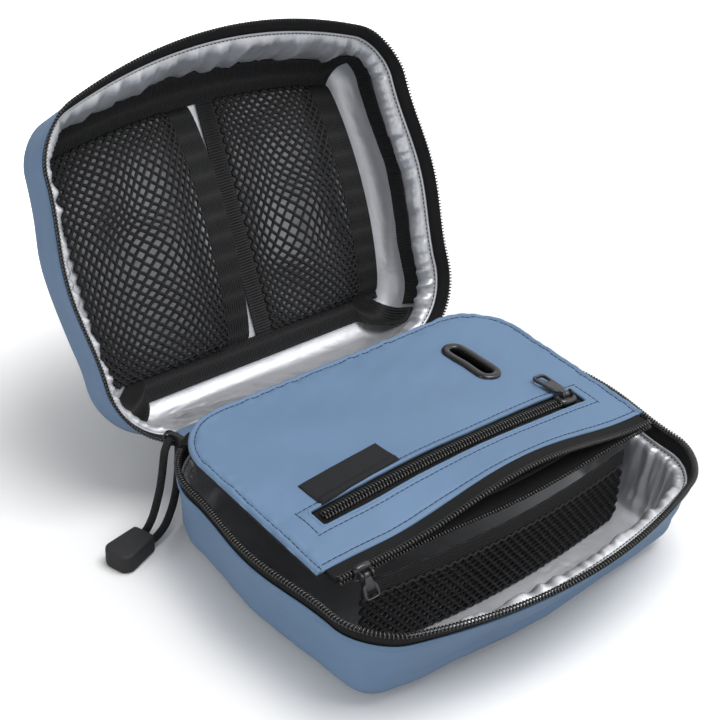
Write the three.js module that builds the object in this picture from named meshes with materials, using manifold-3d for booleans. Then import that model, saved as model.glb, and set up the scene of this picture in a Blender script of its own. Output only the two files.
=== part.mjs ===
// Soft zip-round organiser case for a glucose meter and its supplies, lying open.
// Millimetres, +Z up. The origin is the middle of the base's flat underside, +X runs along the
// hinge to the right, and +Y points to the hinge at the back. The lid is drawn shut and then
// turned open about the hinge line.
import * as THREE from 'three';
import { mergeVertices } from 'three/addons/utils/BufferGeometryUtils.js';
import Module from 'manifold-3d';

const wasm = await Module();
wasm.setup();

// Outline of the case, seen from above
const HALF_WIDTH = 100;
const DEPTH = 150;
const FRONT_BOW = 23;
const FLOOR_BOW = 11.5;
const SIDE_BOW = 4.5;
const FRONT_CORNER = 20;
const BACK_CORNER = 36;
const BACK_Y = (DEPTH + FRONT_BOW) / 2;
const MIDDLE_Y = BACK_Y - DEPTH / 2;

// Base and lid, each from its flat panel to the rim where the two halves meet
const BASE_HEIGHT = 50;
const BASE_LEAN = 5.5;
const BASE_FILLET = 17;
const BASE_WALL = 3.2;
const LID_DEPTH = 46.5;
const LID_LEAN = 4;
const LID_FILLET = 14;
const LID_WALL = 2;
const LID_OPEN = 115.7;
const RIM_SAG = 3.4;
const LINING = 0.7;
const LINING_TURN_UP = 4;
const LINING_CLEAR = 0.5;
const STIFFENER = 1.6;
const CLEAR = 0.3;

// Zip that joins base and lid: two tapes with a coil on each edge, and its end at the back
const RIM_CLEAR = 1.5;
const COIL_HEIGHT = 2;
const COIL_WIDTH = 3;
const COIL_SET_IN = 0.6;
const TAPE_WIDTH = 6;
const TAPE = 0.8;
const TAPE_SET_IN = 1;
const COIL_RIDGE = 0.35;
const ZIP_END_SHARE = 0.24;
const HINGE_PANEL = 1.2;
const HINGE_END_GAP = 0.02;
const COIL_Z = BASE_HEIGHT - RIM_CLEAR - COIL_HEIGHT;
const TAPE_Z = COIL_Z - CLEAR - TAPE_WIDTH;
const HEM_Z = TAPE_Z - CLEAR;
const RIM_BAND = BASE_HEIGHT - HEM_Z;

// Main slider and its cord pull
const SLIDER_LENGTH = 10;
const SLIDER_PLATE = 1;
const SLIDER_START_SHARE = 0.25;
const EYE_REACH = 7.2;
const EYE_HOLE = 5;
const EYE_PLATE = 2.2;
const CORD = 3.6;
const CORD_END_LENGTH = 21;
const CORD_END_NECK = 12;
const CORD_END_WIDTH = 16;
const CORD_END_HEIGHT = 9.5;
const CORD_END_EDGE = 1.6;
const CORD_END_DRAFT = 0.6;
const CORD_ENTRY_SPREAD = 3.2;

// Zipped pouch that lies over the base
const POUCH_SIDE_CLEAR = 6;
const POUCH_HALF = HALF_WIDTH - POUCH_SIDE_CLEAR;
const POUCH_BACK_CLEAR = 5.5;
const POUCH_DEPTH = 109;
const POUCH_CORNER = 29;
const POUCH_BACK_RISE = 8;
const POUCH_FRONT_RISE = 3;
const POUCH_CLOTH = 1.2;
const SEAM = 0.4;
const WELT_CROWN = 6;
const LIP_RISE = 9;
const LIP_DROP = 4;
const MOUTH_CLOSED = 34;
const MOUTH_LEFT = MOUTH_CLOSED - POUCH_HALF;
const LIP_END = 4;
const MOUTH_RIGHT = POUCH_HALF - LIP_END;
const POUCH_STRIP = 1;
const POUCH_Y = BACK_Y - POUCH_BACK_CLEAR;
const POUCH_Z = BASE_HEIGHT + POUCH_BACK_RISE;

// Zip set into the pouch's top, and the zip along its mouth
const WELT_FROM_BACK = 85.5;
const WELT_SIDE_CLEAR = 21.5;
const WELT_HALF = POUCH_HALF - WELT_SIDE_CLEAR;
const WELT_WINDOW = 9;
const WELT_COIL = 5;
const WELT_COIL_HEIGHT = 2;
const WELT_END = 1.5;
const WELT_COIL_RIDGE = 0.3;
const SLOPE_CLEAR = 0.6;
const WELT_TAPE_WIDTH = WELT_WINDOW + 2 * WELT_END;
const LIP_TAPE = 5;
const LIP_COIL = 2.4;
const LIP_COIL_HEIGHT = 2;
const PULL_SLIDER = 9;
const PULL_LENGTH = 19;
const PULL_WIDTH = 6;
const PULL_PLATE = 1.6;
const PULL_PIN = 1.6;
const KNUCKLE = PULL_PIN + 1.4;
const EAR = 1.2;
const EAR_HEIGHT = 2.6;
const PIN_HEIGHT = 1.5;
const WELT_SLIDER_FROM_END = 5.5;
const WELT_SLIDER_X = WELT_HALF - WELT_SLIDER_FROM_END;
const WELT_PULL_DIP = 2;
const LIP_SLIDER_FROM_SIDE = 16;
const LIP_SLIDER_X = LIP_SLIDER_FROM_SIDE - POUCH_HALF;
const LIP_PULL_LENGTH = 10;
const LIP_PULL_DIP = 60;

// Drop slot and bare woven label on the pouch's top
const SLOT_FROM_SIDE = 42;
const SLOT_X = POUCH_HALF - SLOT_FROM_SIDE;
const SLOT_FROM_BACK = 38.5;
const SLOT_LENGTH = 27;
const SLOT_WIDTH = 5;
const EYELET_FLANGE = 4;
const EYELET_WALL = 1.2;
const EYELET_HEIGHT = 1.2;
const LABEL_FROM_SIDE = 46;
const LABEL_X = LABEL_FROM_SIDE - POUCH_HALF;
const LABEL_LENGTH = 43.5;
const LABEL_WIDTH = 15.5;
const LABEL_TURN = 3;
const LABEL_CLOTH = 0.6;
const LABEL_FROM_WELT = 13.6;

// Net pockets, elastics and webbing
const NET = 0.8;
const NET_CELL = 14;
const NET_STRAND = 2;
const NET_HEM = 3;
const BAND = 1;
const BAND_WIDTH = 8;
const BOTTOM_BAND_SHARE = 0.3;
const BOTTOM_BAND_WIDTH = 10;
const BOTTOM_BAND_OVER = 1;
const TOP_BAND_LOW = 28;
const TOP_BAND_HIGH = 90;
const SIDE_BAND_LOW = 21;
const SIDE_BAND_HIGH = 31;
const ELASTIC_WIDTH = 13;
const POCKET_LIFT = 11;
const POCKET_FULLNESS = 0.6;
const PANEL_EDGE = LID_LEAN + LID_FILLET;
const POCKET_CLEAR = 2;
const POCKET_REACH = HALF_WIDTH - PANEL_EDGE - POCKET_CLEAR;
const LEFT_POCKET_TO = -15.5;
const RIGHT_POCKET_FROM = 15;
const WEBBING_X = 8;
const WEBBING_WIDTH = 10;
const BASE_NET_HALF = 76;
const BASE_NET_SET_BACK = 30;
const BASE_NET_HEIGHT = 30;
const BASE_NET_BOW = 6;

// Steps along each leg of the outline: back, back corner, side, front corner, front
const SHELL_STEPS = [2, 5, 6, 4, 5];
const TAPE_STEPS = [2, 5, 6, 4, 6];
const COIL_STEPS = [2, 10, 22, 8, 22];

// Steps along the other curves
const FILLET_STEPS = 4;
const BAND_STEPS = 14;
const WELT_TAPE_STEPS = 16;
const WELT_COIL_STEPS = 58;
const LIP_TAPE_STEPS = 20;
const LIP_COIL_STEPS = 62;
const POUCH_TOP_STEPS = { columns: 14, corner: 4, rows: 9 };
const POUCH_BOTTOM_STEPS = { columns: 12, corner: 3, rows: 6 };
const SLIDER_STEPS = 4;
const CORD_STEPS = 34;
const CORD_SIDES = 8;

const degrees = THREE.MathUtils.degToRad;
const clamp01 = (value) => THREE.MathUtils.clamp(value, 0, 1);
const mix = THREE.MathUtils.lerp;
const SQUARE = [[0, 0], [1, 0], [1, 1], [0, 1]].map(([x, y]) => new THREE.Vector2(x, y));

// Solid between two or more rings of points, closed with flat caps at both ends
function loft(rings, capOutline) {
  const count = rings[0].length;
  const flat = capOutline ?? rings[0].map((p) => new THREE.Vector2(p.x, p.y));
  const cap = THREE.ShapeUtils.triangulateShape(flat, []);
  const index = [];
  for (let r = 0; r + 1 < rings.length; r++) {
    for (let k = 0; k < count; k++) {
      const a = r * count + k;
      const b = r * count + ((k + 1) % count);
      index.push(a, b, b + count, a, b + count, a + count);
    }
  }
  const last = (rings.length - 1) * count;
  for (const [a, b, c] of cap) {
    index.push(a, c, b, last + a, last + b, last + c);
  }
  return closedGeometry(rings.flat(), index);
}

// Solid between an upper and a lower grid of points
function gridSolid(lower, upper) {
  const rows = lower.length;
  const columns = lower[0].length;
  const half = rows * columns;
  const index = [];
  const at = (r, c) => r * columns + c;
  const quad = (a, b, c, d) => index.push(a, b, c, a, c, d);
  for (let r = 0; r + 1 < rows; r++) {
    for (let c = 0; c + 1 < columns; c++) {
      const corners = [at(r, c), at(r, c + 1), at(r + 1, c + 1), at(r + 1, c)];
      quad(...corners.map((k) => k + half));
      quad(...corners.reverse());
    }
  }
  const edge = [];
  for (let c = 0; c + 1 < columns; c++) edge.push(at(0, c));
  for (let r = 0; r + 1 < rows; r++) edge.push(at(r, columns - 1));
  for (let c = columns - 1; c > 0; c--) edge.push(at(rows - 1, c));
  for (let r = rows - 1; r > 0; r--) edge.push(at(r, 0));
  edge.forEach((a, k) => {
    const b = edge[(k + 1) % edge.length];
    quad(a, b, b + half, a + half);
  });
  return closedGeometry([...lower.flat(), ...upper.flat()], index);
}

// Geometry from points and triangles, turned so that its faces point outwards
function closedGeometry(points, index) {
  let volume = 0;
  for (let k = 0; k < index.length; k += 3) {
    const [a, b, c] = [points[index[k]], points[index[k + 1]], points[index[k + 2]]];
    volume += a.dot(b.clone().cross(c));
  }
  if (volume < 0) index.reverse();
  const geometry = new THREE.BufferGeometry().setFromPoints(points);
  geometry.setIndex(index);
  geometry.computeVertexNormals();
  return geometry;
}

// Joins and cuts of closed geometries
function toSolid(geometry) {
  const bare = geometry.clone();
  bare.deleteAttribute('normal');
  bare.deleteAttribute('uv');
  const merged = mergeVertices(bare, 1e-4);
  return new wasm.Manifold(new wasm.Mesh({
    numProp: 3,
    vertProperties: new Float32Array(merged.attributes.position.array),
    triVerts: new Uint32Array(merged.index.array),
  }));
}

function fromSolid(solid) {
  const mesh = solid.getMesh();
  const geometry = new THREE.BufferGeometry();
  geometry.setAttribute('position', new THREE.BufferAttribute(mesh.vertProperties, 3));
  geometry.setIndex(new THREE.BufferAttribute(mesh.triVerts, 1));
  geometry.computeVertexNormals();
  return geometry;
}

const joined = (...list) => fromSolid(list.map(toSolid).reduce((a, b) => a.add(b)));
const cut = (body, ...tools) => fromSolid(tools.map(toSolid).reduce((a, b) => a.subtract(b), toSolid(body)));

// Places on the outline: a leg of the walk from the back's middle to the front's middle, and a
// share of that leg. The right half mirrors the left.
const LEGS = ['back', 'backCorner', 'side', 'frontCorner', 'front'];

function legStations(leg, from, to, steps) {
  return Array.from({ length: steps }, (_, k) => ({ leg, share: mix(from, to, k / steps), side: -1 }));
}

const mirrored = (stations) => stations.map((s) => ({ ...s, side: 1 })).reverse();

function ringStations(steps) {
  const left = LEGS.flatMap((leg, k) => legStations(leg, 0, 1, steps[k]));
  const middle = { leg: 'front', share: 1, side: -1 };
  return [...left, middle, ...mirrored(left.slice(1))];
}

function zipStations(steps, startShare) {
  const left = [
    ...legStations('backCorner', startShare, 1, steps[1]),
    ...LEGS.slice(2).flatMap((leg, k) => legStations(leg, 0, 1, steps[k + 2])),
  ];
  const middle = { leg: 'front', share: 1, side: -1 };
  return [...left, middle, ...mirrored(left)];
}

function backStations(steps, endShare) {
  const left = [
    ...legStations('back', 0, 1, steps[0]),
    ...legStations('backCorner', 0, endShare, steps[1]),
    { leg: 'backCorner', share: endShare, side: -1 },
  ];
  return [...left.slice(1).reverse(), ...left.map((s) => ({ ...s, side: 1 }))];
}

// Point of the outline at a level: how far in from the rim's outline, how much of that is the
// wall's lean, which the flat back lacks, the bow of the front and the share of the rim's sag
function place(station, level) {
  const { inset, lean, bow, sag, z } = level;
  const width = HALF_WIDTH - inset;
  const back = BACK_Y - inset + lean;
  const front = BACK_Y - DEPTH + inset;
  const backRadius = Math.max(BACK_CORNER - inset, CLEAR);
  const frontRadius = Math.max(FRONT_CORNER - inset, CLEAR);
  const angle = (station.share * Math.PI) / 2;
  let x = width;
  let y = mix(back - backRadius, front + frontRadius, station.share);
  if (station.leg === 'back') {
    x = station.share * (width - backRadius);
    y = back;
  } else if (station.leg === 'backCorner') {
    x = width - backRadius * (1 - Math.sin(angle));
    y = back - backRadius * (1 - Math.cos(angle));
  } else if (station.leg === 'side') {
    x = width + SIDE_BOW * Math.sin(Math.PI * station.share) ** 2;
  } else if (station.leg === 'frontCorner') {
    x = width - frontRadius * (1 - Math.cos(angle));
    y = front + frontRadius * (1 - Math.sin(angle));
  } else {
    x = (1 - station.share) * (width - frontRadius);
    y = front;
  }
  const across = clamp01(1 - (x / HALF_WIDTH) ** 2);
  const forward = clamp01((MIDDLE_Y - y) / (DEPTH / 2)) ** 2;
  const swing = across * forward;
  return new THREE.Vector3(station.side * x, y - bow * swing, z - sag * RIM_SAG * swing);
}

// Levels of the base wall by height, and of the rounded edge by angle from its side to the floor
function baseLevel(z, inward) {
  const share = (z - BASE_FILLET) / (BASE_HEIGHT - BASE_FILLET);
  const lean = BASE_LEAN * (1 - share);
  return { inset: lean + inward, lean, bow: mix(FLOOR_BOW, FRONT_BOW, share), sag: share, z };
}

function baseEdge(angle, inward, floor) {
  const inset = BASE_LEAN + BASE_FILLET - (BASE_FILLET - inward) * Math.cos(angle);
  const z = BASE_FILLET - (BASE_FILLET - floor) * Math.sin(angle);
  return { inset, lean: BASE_LEAN, bow: FLOOR_BOW, sag: 0, z };
}

// The same for the lid, with heights from the rim up to its panel, as it lies shut
function lidLevel(height, inward) {
  const share = height / (LID_DEPTH - LID_FILLET);
  const lean = LID_LEAN * share;
  return { inset: lean + inward, lean, bow: FRONT_BOW, sag: 1 - share, z: BASE_HEIGHT + height };
}

function lidEdge(angle, inward) {
  const radius = LID_FILLET - inward;
  const inset = LID_LEAN + LID_FILLET - radius * Math.cos(angle);
  const z = BASE_HEIGHT + LID_DEPTH - LID_FILLET + radius * Math.sin(angle);
  return { inset, lean: LID_LEAN, bow: FRONT_BOW, sag: 0, z };
}

const filletAngles = Array.from({ length: FILLET_STEPS + 1 }, (_, k) => (
  (Math.PI / 2) * (1 - k / FILLET_STEPS)
));
const ringAt = (stations, level) => stations.map((station) => place(station, level));

// Tub of cloth: up the outside from the floor, over the hem and down the inside
function tub(outerLevels, innerLevels) {
  const stations = ringStations(SHELL_STEPS);
  const levels = [...outerLevels, ...innerLevels.toReversed()];
  return loft(levels.map((level) => ringAt(stations, level)));
}

const baseWallLevels = (inward, floor, turnUp = []) => [
  ...filletAngles.map((angle) => baseEdge(angle, inward, floor)),
  ...[(BASE_FILLET + HEM_Z) / 2, HEM_Z, ...turnUp].map((z) => baseLevel(z, inward)),
];
const lidWallLevels = (inward, turnUp = []) => [
  ...filletAngles.map((angle) => lidEdge(angle, inward)),
  ...[RIM_BAND, ...turnUp].map((height) => lidLevel(height, inward)),
];

// Strip with a four-cornered section that follows the outline; ridges make it stand out by turns
function outlineStrip(stations, corners) {
  const sections = stations.map((station, k) => corners(k).map((level) => place(station, level)));
  return loft(sections, SQUARE);
}

function rimStrip(levelAt, stations, z, height, inward, thickness, ridge = 0) {
  return outlineStrip(stations, (k) => {
    const swell = (k % 2) * ridge;
    return [
      levelAt(z, inward + swell),
      levelAt(z, inward + thickness - swell),
      levelAt(z + height, inward + thickness - swell),
      levelAt(z + height, inward + swell),
    ];
  });
}

// Finishes
const finish = (color, roughness, metalness = 0) => (
  new THREE.MeshStandardMaterial({ color, roughness, metalness })
);
const blueCloth = finish(0x748bac, 0.55);
const silverLining = finish(0xa9adb3, 0.35, 0.3);
const blackTape = finish(0x17181a, 0.8);
const blackCoil = finish(0x202123, 0.45);
const blackNet = finish(0x121315, 0.75);
const blackElastic = finish(0x191a1c, 0.85);
const blackWebbing = finish(0x1b1c1e, 0.8);
const darkMetal = finish(0x4a4c50, 0.35, 0.9);
const blackPlastic = finish(0x18191b, 0.4);
const cordFinish = finish(0x1c1c1e, 0.7);
const labelCloth = finish(0x24262a, 0.85);
const boardFinish = finish(0xd8d6cf, 0.6);

const caseGroup = new THREE.Group();
const lidPivot = new THREE.Group();
lidPivot.position.set(0, BACK_Y, HEM_Z);
lidPivot.rotation.x = -degrees(LID_OPEN);
const lid = new THREE.Group();
lid.position.set(0, -BACK_Y, -HEM_Z);
lidPivot.add(lid);
caseGroup.add(lidPivot);

function add(name, geometry, material, parent = caseGroup) {
  const mesh = new THREE.Mesh(geometry, material);
  mesh.name = name;
  parent.add(mesh);
  return mesh;
}

// Base: padded shell, board in its floor, silver lining and half of the zip
const LINING_IN = BASE_WALL + LINING_CLEAR;
const LINING_FLOOR = BASE_WALL + CLEAR + STIFFENER + CLEAR;
const BASE_INSIDE = LINING_IN + LINING;
const BASE_FLOOR_TOP = LINING_FLOOR + LINING;

add('base_shell', tub(baseWallLevels(0, 0), baseWallLevels(BASE_WALL, BASE_WALL)), blueCloth);

function floorBoard() {
  const stations = ringStations(SHELL_STEPS);
  const edge = baseEdge(Math.PI / 2, 0, 0);
  const low = BASE_WALL + CLEAR;
  return loft([low, low + STIFFENER].map((z) => ringAt(stations, { ...edge, z })));
}
add('floor_stiffener', floorBoard(), boardFinish);

const liningTop = [HEM_Z + LINING_TURN_UP];
add('base_lining', tub(
  baseWallLevels(LINING_IN, LINING_FLOOR, liningTop),
  baseWallLevels(BASE_INSIDE, BASE_FLOOR_TOP, liningTop),
), silverLining);

const tapeRun = zipStations(TAPE_STEPS, ZIP_END_SHARE);
const coilRun = zipStations(COIL_STEPS, ZIP_END_SHARE);
add('base_zip_tape', rimStrip(baseLevel, tapeRun, TAPE_Z, TAPE_WIDTH, TAPE_SET_IN, TAPE), blackTape);
add('base_zip_coil', rimStrip(
  baseLevel, coilRun, COIL_Z, COIL_HEIGHT, COIL_SET_IN, COIL_WIDTH, COIL_RIDGE,
), blackCoil);

// Net: a flat sheet with diamond gaps in staggered rows, bent onto its place by a formula
function net(width, height, bend) {
  const sheet = new THREE.Shape();
  sheet.moveTo(0, 0);
  const edgeSteps = Math.round(width / NET_CELL) * 2;
  for (let k = 1; k <= edgeSteps; k++) sheet.lineTo((width * k) / edgeSteps, 0);
  sheet.lineTo(width, height);
  for (let k = edgeSteps - 1; k >= 0; k--) sheet.lineTo((width * k) / edgeSteps, height);
  const columns = Math.max(1, Math.round((width - 2 * NET_HEM) / NET_CELL));
  const rows = Math.max(1, Math.round((height - 2 * NET_HEM) / NET_CELL));
  const cellX = (width - 2 * NET_HEM) / columns;
  const cellY = (height - 2 * NET_HEM) / rows;
  const gap = (x, y) => {
    const hole = new THREE.Path();
    const [a, b] = [(cellX - NET_STRAND) / 2, (cellY - NET_STRAND) / 2];
    hole.moveTo(x - a, y);
    hole.lineTo(x, y - b);
    hole.lineTo(x + a, y);
    hole.lineTo(x, y + b);
    hole.closePath();
    sheet.holes.push(hole);
  };
  for (let i = 0; i < columns; i++) {
    for (let j = 0; j < rows; j++) {
      gap(NET_HEM + (i + 0.5) * cellX, NET_HEM + (j + 0.5) * cellY);
      if (i + 1 < columns && j + 1 < rows) gap(NET_HEM + (i + 1) * cellX, NET_HEM + (j + 1) * cellY);
    }
  }
  const geometry = new THREE.ExtrudeGeometry(sheet, { depth: NET, bevelEnabled: false });
  const position = geometry.attributes.position;
  for (let k = 0; k < position.count; k++) {
    const spot = bend(position.getX(k) / width, position.getY(k) / height, position.getZ(k));
    position.setXYZ(k, spot.x, spot.y, spot.z);
  }
  geometry.deleteAttribute('normal');
  geometry.deleteAttribute('uv');
  const whole = mergeVertices(geometry, 1e-4);
  whole.computeVertexNormals();
  return whole;
}

// Net divider across the front of the base, on its floor, with an elastic along its top edge
const BASE_NET_Z = BASE_FLOOR_TOP + CLEAR;
const baseNetY = (share) => BACK_Y - DEPTH + BASE_NET_SET_BACK - BASE_NET_BOW * Math.sin(Math.PI * share);
add('base_mesh_pocket', net(2 * BASE_NET_HALF, BASE_NET_HEIGHT, (across, up, thick) => new THREE.Vector3(
  mix(-BASE_NET_HALF, BASE_NET_HALF, across),
  baseNetY(across) - thick,
  BASE_NET_Z + up * BASE_NET_HEIGHT,
)), blackNet);

function baseNetBand() {
  const low = BASE_NET_Z + BASE_NET_HEIGHT + CLEAR;
  const sections = Array.from({ length: BAND_STEPS + 1 }, (_, k) => {
    const share = k / BAND_STEPS;
    const x = mix(-BASE_NET_HALF, BASE_NET_HALF, share);
    return SQUARE.map((c) => new THREE.Vector3(x, baseNetY(share) - c.x * BAND, low + c.y * BAND_WIDTH));
  });
  return loft(sections, SQUARE);
}
add('base_pocket_elastic', baseNetBand(), blackElastic);

// Lid: shell, lining, its half of the zip and the cloth hinge along the back
const LID_LINING_IN = LID_WALL + LINING_CLEAR;
const LID_INSIDE = LID_LINING_IN + LINING;
const LID_PANEL_Z = BASE_HEIGHT + LID_DEPTH - LID_INSIDE;

add('lid_shell', tub(lidWallLevels(0), lidWallLevels(LID_WALL)), blueCloth, lid);
const lidLiningBottom = [RIM_BAND - LINING_TURN_UP];
add('lid_lining', tub(
  lidWallLevels(LID_LINING_IN, lidLiningBottom),
  lidWallLevels(LID_INSIDE, lidLiningBottom),
), silverLining, lid);

const LID_TAPE_H = RIM_CLEAR + COIL_HEIGHT + CLEAR;
add('lid_zip_tape', rimStrip(lidLevel, tapeRun, LID_TAPE_H, TAPE_WIDTH, TAPE_SET_IN, TAPE), blackTape, lid);
add('lid_zip_coil', rimStrip(
  lidLevel, coilRun, RIM_CLEAR, COIL_HEIGHT, COIL_SET_IN, COIL_WIDTH, COIL_RIDGE,
), blackCoil, lid);

const hingeLevel = (z, inward) => ({ inset: inward, lean: 0, bow: 0, sag: 0, z });
const hingeRun = backStations(SHELL_STEPS, ZIP_END_SHARE - HINGE_END_GAP);
add('hinge_panel', rimStrip(
  hingeLevel, hingeRun, HEM_Z + CLEAR, 2 * RIM_BAND - 2 * CLEAR, 0, HINGE_PANEL,
), blueCloth, lid);

// Bands sewn round the lid's panel: on the rounded edge along its front, flat along its hinge side,
// and on the wall of its right side
const BAND_Z = LID_PANEL_Z - CLEAR - BAND;
const BAND_IN = LID_INSIDE + CLEAR;
const bottomBandInset = PANEL_EDGE - BOTTOM_BAND_OVER;

function liningBand(stations, levelAt, low, high) {
  return outlineStrip(stations, () => [
    levelAt(low, BAND_IN),
    levelAt(low, BAND_IN + BAND),
    levelAt(high, BAND_IN + BAND),
    levelAt(high, BAND_IN),
  ]);
}

const frontLeft = legStations('front', 0, 1, SHELL_STEPS[4]);
const frontRun = [...frontLeft, { leg: 'front', share: 1, side: -1 }, ...mirrored(frontLeft)];
const topBand = liningBand(frontRun, lidEdge, degrees(TOP_BAND_LOW), degrees(TOP_BAND_HIGH));
add('top_band', topBand, blackWebbing, lid);

function hingeSideBand() {
  const flat = { lean: LID_LEAN, bow: FRONT_BOW, sag: 0 };
  const far = bottomBandInset + BOTTOM_BAND_WIDTH;
  return outlineStrip(backStations(SHELL_STEPS, BOTTOM_BAND_SHARE), () => [
    { ...flat, inset: bottomBandInset, z: BAND_Z },
    { ...flat, inset: far, z: BAND_Z },
    { ...flat, inset: far, z: BAND_Z + BAND },
    { ...flat, inset: bottomBandInset, z: BAND_Z + BAND },
  ]);
}
add('bottom_band', hingeSideBand(), blackWebbing, lid);

const sideLeft = [...legStations('side', 0, 1, SHELL_STEPS[2]), { leg: 'side', share: 1, side: -1 }];
const sideBand = liningBand(mirrored(sideLeft), lidLevel, SIDE_BAND_LOW, SIDE_BAND_HIGH);
add('right_webbing', sideBand, blackWebbing, lid);

// Net pockets of the lid, sewn down on three sides, with an elastic along the free right edge
const pocketFrontInset = PANEL_EDGE + POCKET_CLEAR;
const pocketBackInset = bottomBandInset + BOTTOM_BAND_WIDTH + POCKET_CLEAR;
const pocketBack = BACK_Y - pocketBackInset + LID_LEAN;
const pocketHeight = DEPTH + FRONT_BOW - pocketFrontInset - pocketBackInset;
const pocketSurface = LID_PANEL_Z - CLEAR;

function pocketSwell(across, up) {
  return POCKET_LIFT * Math.sin((Math.PI / 2) * across) * Math.sin(Math.PI * up) ** POCKET_FULLNESS;
}

function pocketFront(x) {
  const y = BACK_Y - DEPTH + pocketFrontInset;
  const forward = clamp01((MIDDLE_Y - y) / (DEPTH / 2)) ** 2;
  return y - FRONT_BOW * clamp01(1 - (x / HALF_WIDTH) ** 2) * forward;
}

function lidPocket(from, to) {
  return net(to - from, pocketHeight, (across, up, thick) => {
    const x = mix(from, to, across);
    const y = mix(pocketBack, pocketFront(x), up);
    return new THREE.Vector3(x, y, pocketSurface - thick - pocketSwell(across, up));
  });
}

function pocketElastic(from) {
  const sections = Array.from({ length: BAND_STEPS + 1 }, (_, k) => {
    const share = k / BAND_STEPS;
    const z = pocketSurface - pocketSwell(1, share);
    return SQUARE.map((c) => {
      const x = from + CLEAR + c.x * ELASTIC_WIDTH;
      return new THREE.Vector3(x, mix(pocketBack, pocketFront(x), share), z - c.y * BAND);
    });
  });
  return loft(sections, SQUARE);
}

const rightPocketTo = POCKET_REACH - ELASTIC_WIDTH;
add('left_mesh_pocket', lidPocket(-POCKET_REACH, LEFT_POCKET_TO), blackNet, lid);
add('left_pocket_elastic', pocketElastic(LEFT_POCKET_TO), blackElastic, lid);
add('right_mesh_pocket', lidPocket(RIGHT_POCKET_FROM, rightPocketTo), blackNet, lid);
add('right_pocket_elastic', pocketElastic(rightPocketTo), blackElastic, lid);

function boxBetween(low, high) {
  const size = new THREE.Vector3().subVectors(high, low);
  const middle = new THREE.Vector3().addVectors(low, high).multiplyScalar(0.5);
  return new THREE.BoxGeometry(size.x, size.y, size.z).translate(middle.x, middle.y, middle.z);
}
add('middle_webbing', boxBetween(
  new THREE.Vector3(WEBBING_X - WEBBING_WIDTH / 2, pocketFront(WEBBING_X), BAND_Z),
  new THREE.Vector3(WEBBING_X + WEBBING_WIDTH / 2, pocketBack, BAND_Z + BAND),
), blackWebbing, lid);

// Pouch: heights of its seam plane, crowned top and slack bottom at a place x and distance from back
const pouchShare = (fromBack) => fromBack / POUCH_DEPTH;
const WELT_SHARE = pouchShare(WELT_FROM_BACK);
const pouchPlane = (fromBack) => BASE_HEIGHT + mix(POUCH_BACK_RISE, POUCH_FRONT_RISE, pouchShare(fromBack));
const arch = (x) => clamp01(1 - (x / POUCH_HALF) ** 2);
const mouth = (x) => Math.sin(Math.PI * clamp01((x - MOUTH_LEFT) / (MOUTH_RIGHT - MOUTH_LEFT))) ** 2;

function pouchTop(x, fromBack) {
  const share = pouchShare(fromBack);
  const crown = WELT_CROWN * Math.min(share / WELT_SHARE, 1) * arch(x);
  const toLip = clamp01((share - WELT_SHARE) / (1 - WELT_SHARE));
  return pouchPlane(fromBack) + SEAM / 2 + mix(crown, LIP_RISE * mouth(x), toLip ** 1.5);
}

function pouchBottom(x, fromBack) {
  const share = pouchShare(fromBack);
  const slack = LIP_DROP * share * mix(arch(x), mouth(x), share);
  return pouchPlane(fromBack) - SEAM / 2 - slack;
}

function pouchHalfAt(fromBack) {
  const rest = Math.max(POUCH_CORNER - fromBack, 0);
  return POUCH_HALF - POUCH_CORNER + Math.sqrt(POUCH_CORNER ** 2 - rest ** 2);
}

function pouchRows(steps) {
  const corner = Array.from({ length: steps.corner }, (_, k) => (
    POUCH_CORNER * (1 - Math.cos((Math.PI / 2) * (k / steps.corner)))
  ));
  const straight = Array.from({ length: steps.rows + 1 }, (_, k) => (
    mix(POUCH_CORNER, POUCH_DEPTH, k / steps.rows)
  ));
  return [...corner, ...straight];
}

function pouchSheet(heightAt, thickness, steps) {
  const grid = (lift) => pouchRows(steps).map((fromBack) => (
    Array.from({ length: steps.columns + 1 }, (_, k) => {
      const x = mix(-1, 1, k / steps.columns) * pouchHalfAt(fromBack);
      return new THREE.Vector3(x, POUCH_Y - fromBack, heightAt(x, fromBack) + lift);
    })
  ));
  return gridSolid(grid(Math.min(thickness, 0)), grid(Math.max(thickness, 0)));
}

// Flat outline with round ends, length along Y
function roundEnded(length, width) {
  const radius = width / 2;
  const straight = (length - width) / 2;
  const shape = new THREE.Shape();
  shape.absarc(0, straight, radius, 0, Math.PI, false);
  shape.absarc(0, -straight, radius, Math.PI, 2 * Math.PI, false);
  shape.closePath();
  return shape;
}
const extrude = (shape, depth, curveSegments = 6) => (
  new THREE.ExtrudeGeometry(shape, { depth, bevelEnabled: false, curveSegments })
);

const pouchFrontY = POUCH_Y - POUCH_DEPTH;
const weltY = POUCH_Y - WELT_FROM_BACK;
const slotY = POUCH_Y - SLOT_FROM_BACK;
const CUT_HEIGHT = LIP_RISE + WELT_CROWN + POUCH_BACK_RISE + 2 * POUCH_CLOTH;

function pouchTopPanel() {
  const sheet = pouchSheet(pouchTop, POUCH_CLOTH, POUCH_TOP_STEPS);
  const window = extrude(roundEnded(2 * WELT_HALF + WELT_WINDOW, WELT_WINDOW), CUT_HEIGHT)
    .rotateZ(Math.PI / 2)
    .translate(0, weltY, BASE_HEIGHT);
  const slotCut = SLOT_WIDTH + 2 * EYELET_WALL + 2 * CLEAR;
  const slot = extrude(roundEnded(SLOT_LENGTH + slotCut - SLOT_WIDTH, slotCut), CUT_HEIGHT)
    .translate(SLOT_X, slotY, BASE_HEIGHT);
  return cut(sheet, window, slot);
}

const pouch = new THREE.Group();
caseGroup.add(pouch);
add('pouch_top_panel', pouchTopPanel(), blueCloth, pouch);
add('pouch_bottom_panel', pouchSheet(pouchBottom, -POUCH_CLOTH, POUCH_BOTTOM_STEPS), blackTape, pouch);

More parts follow.
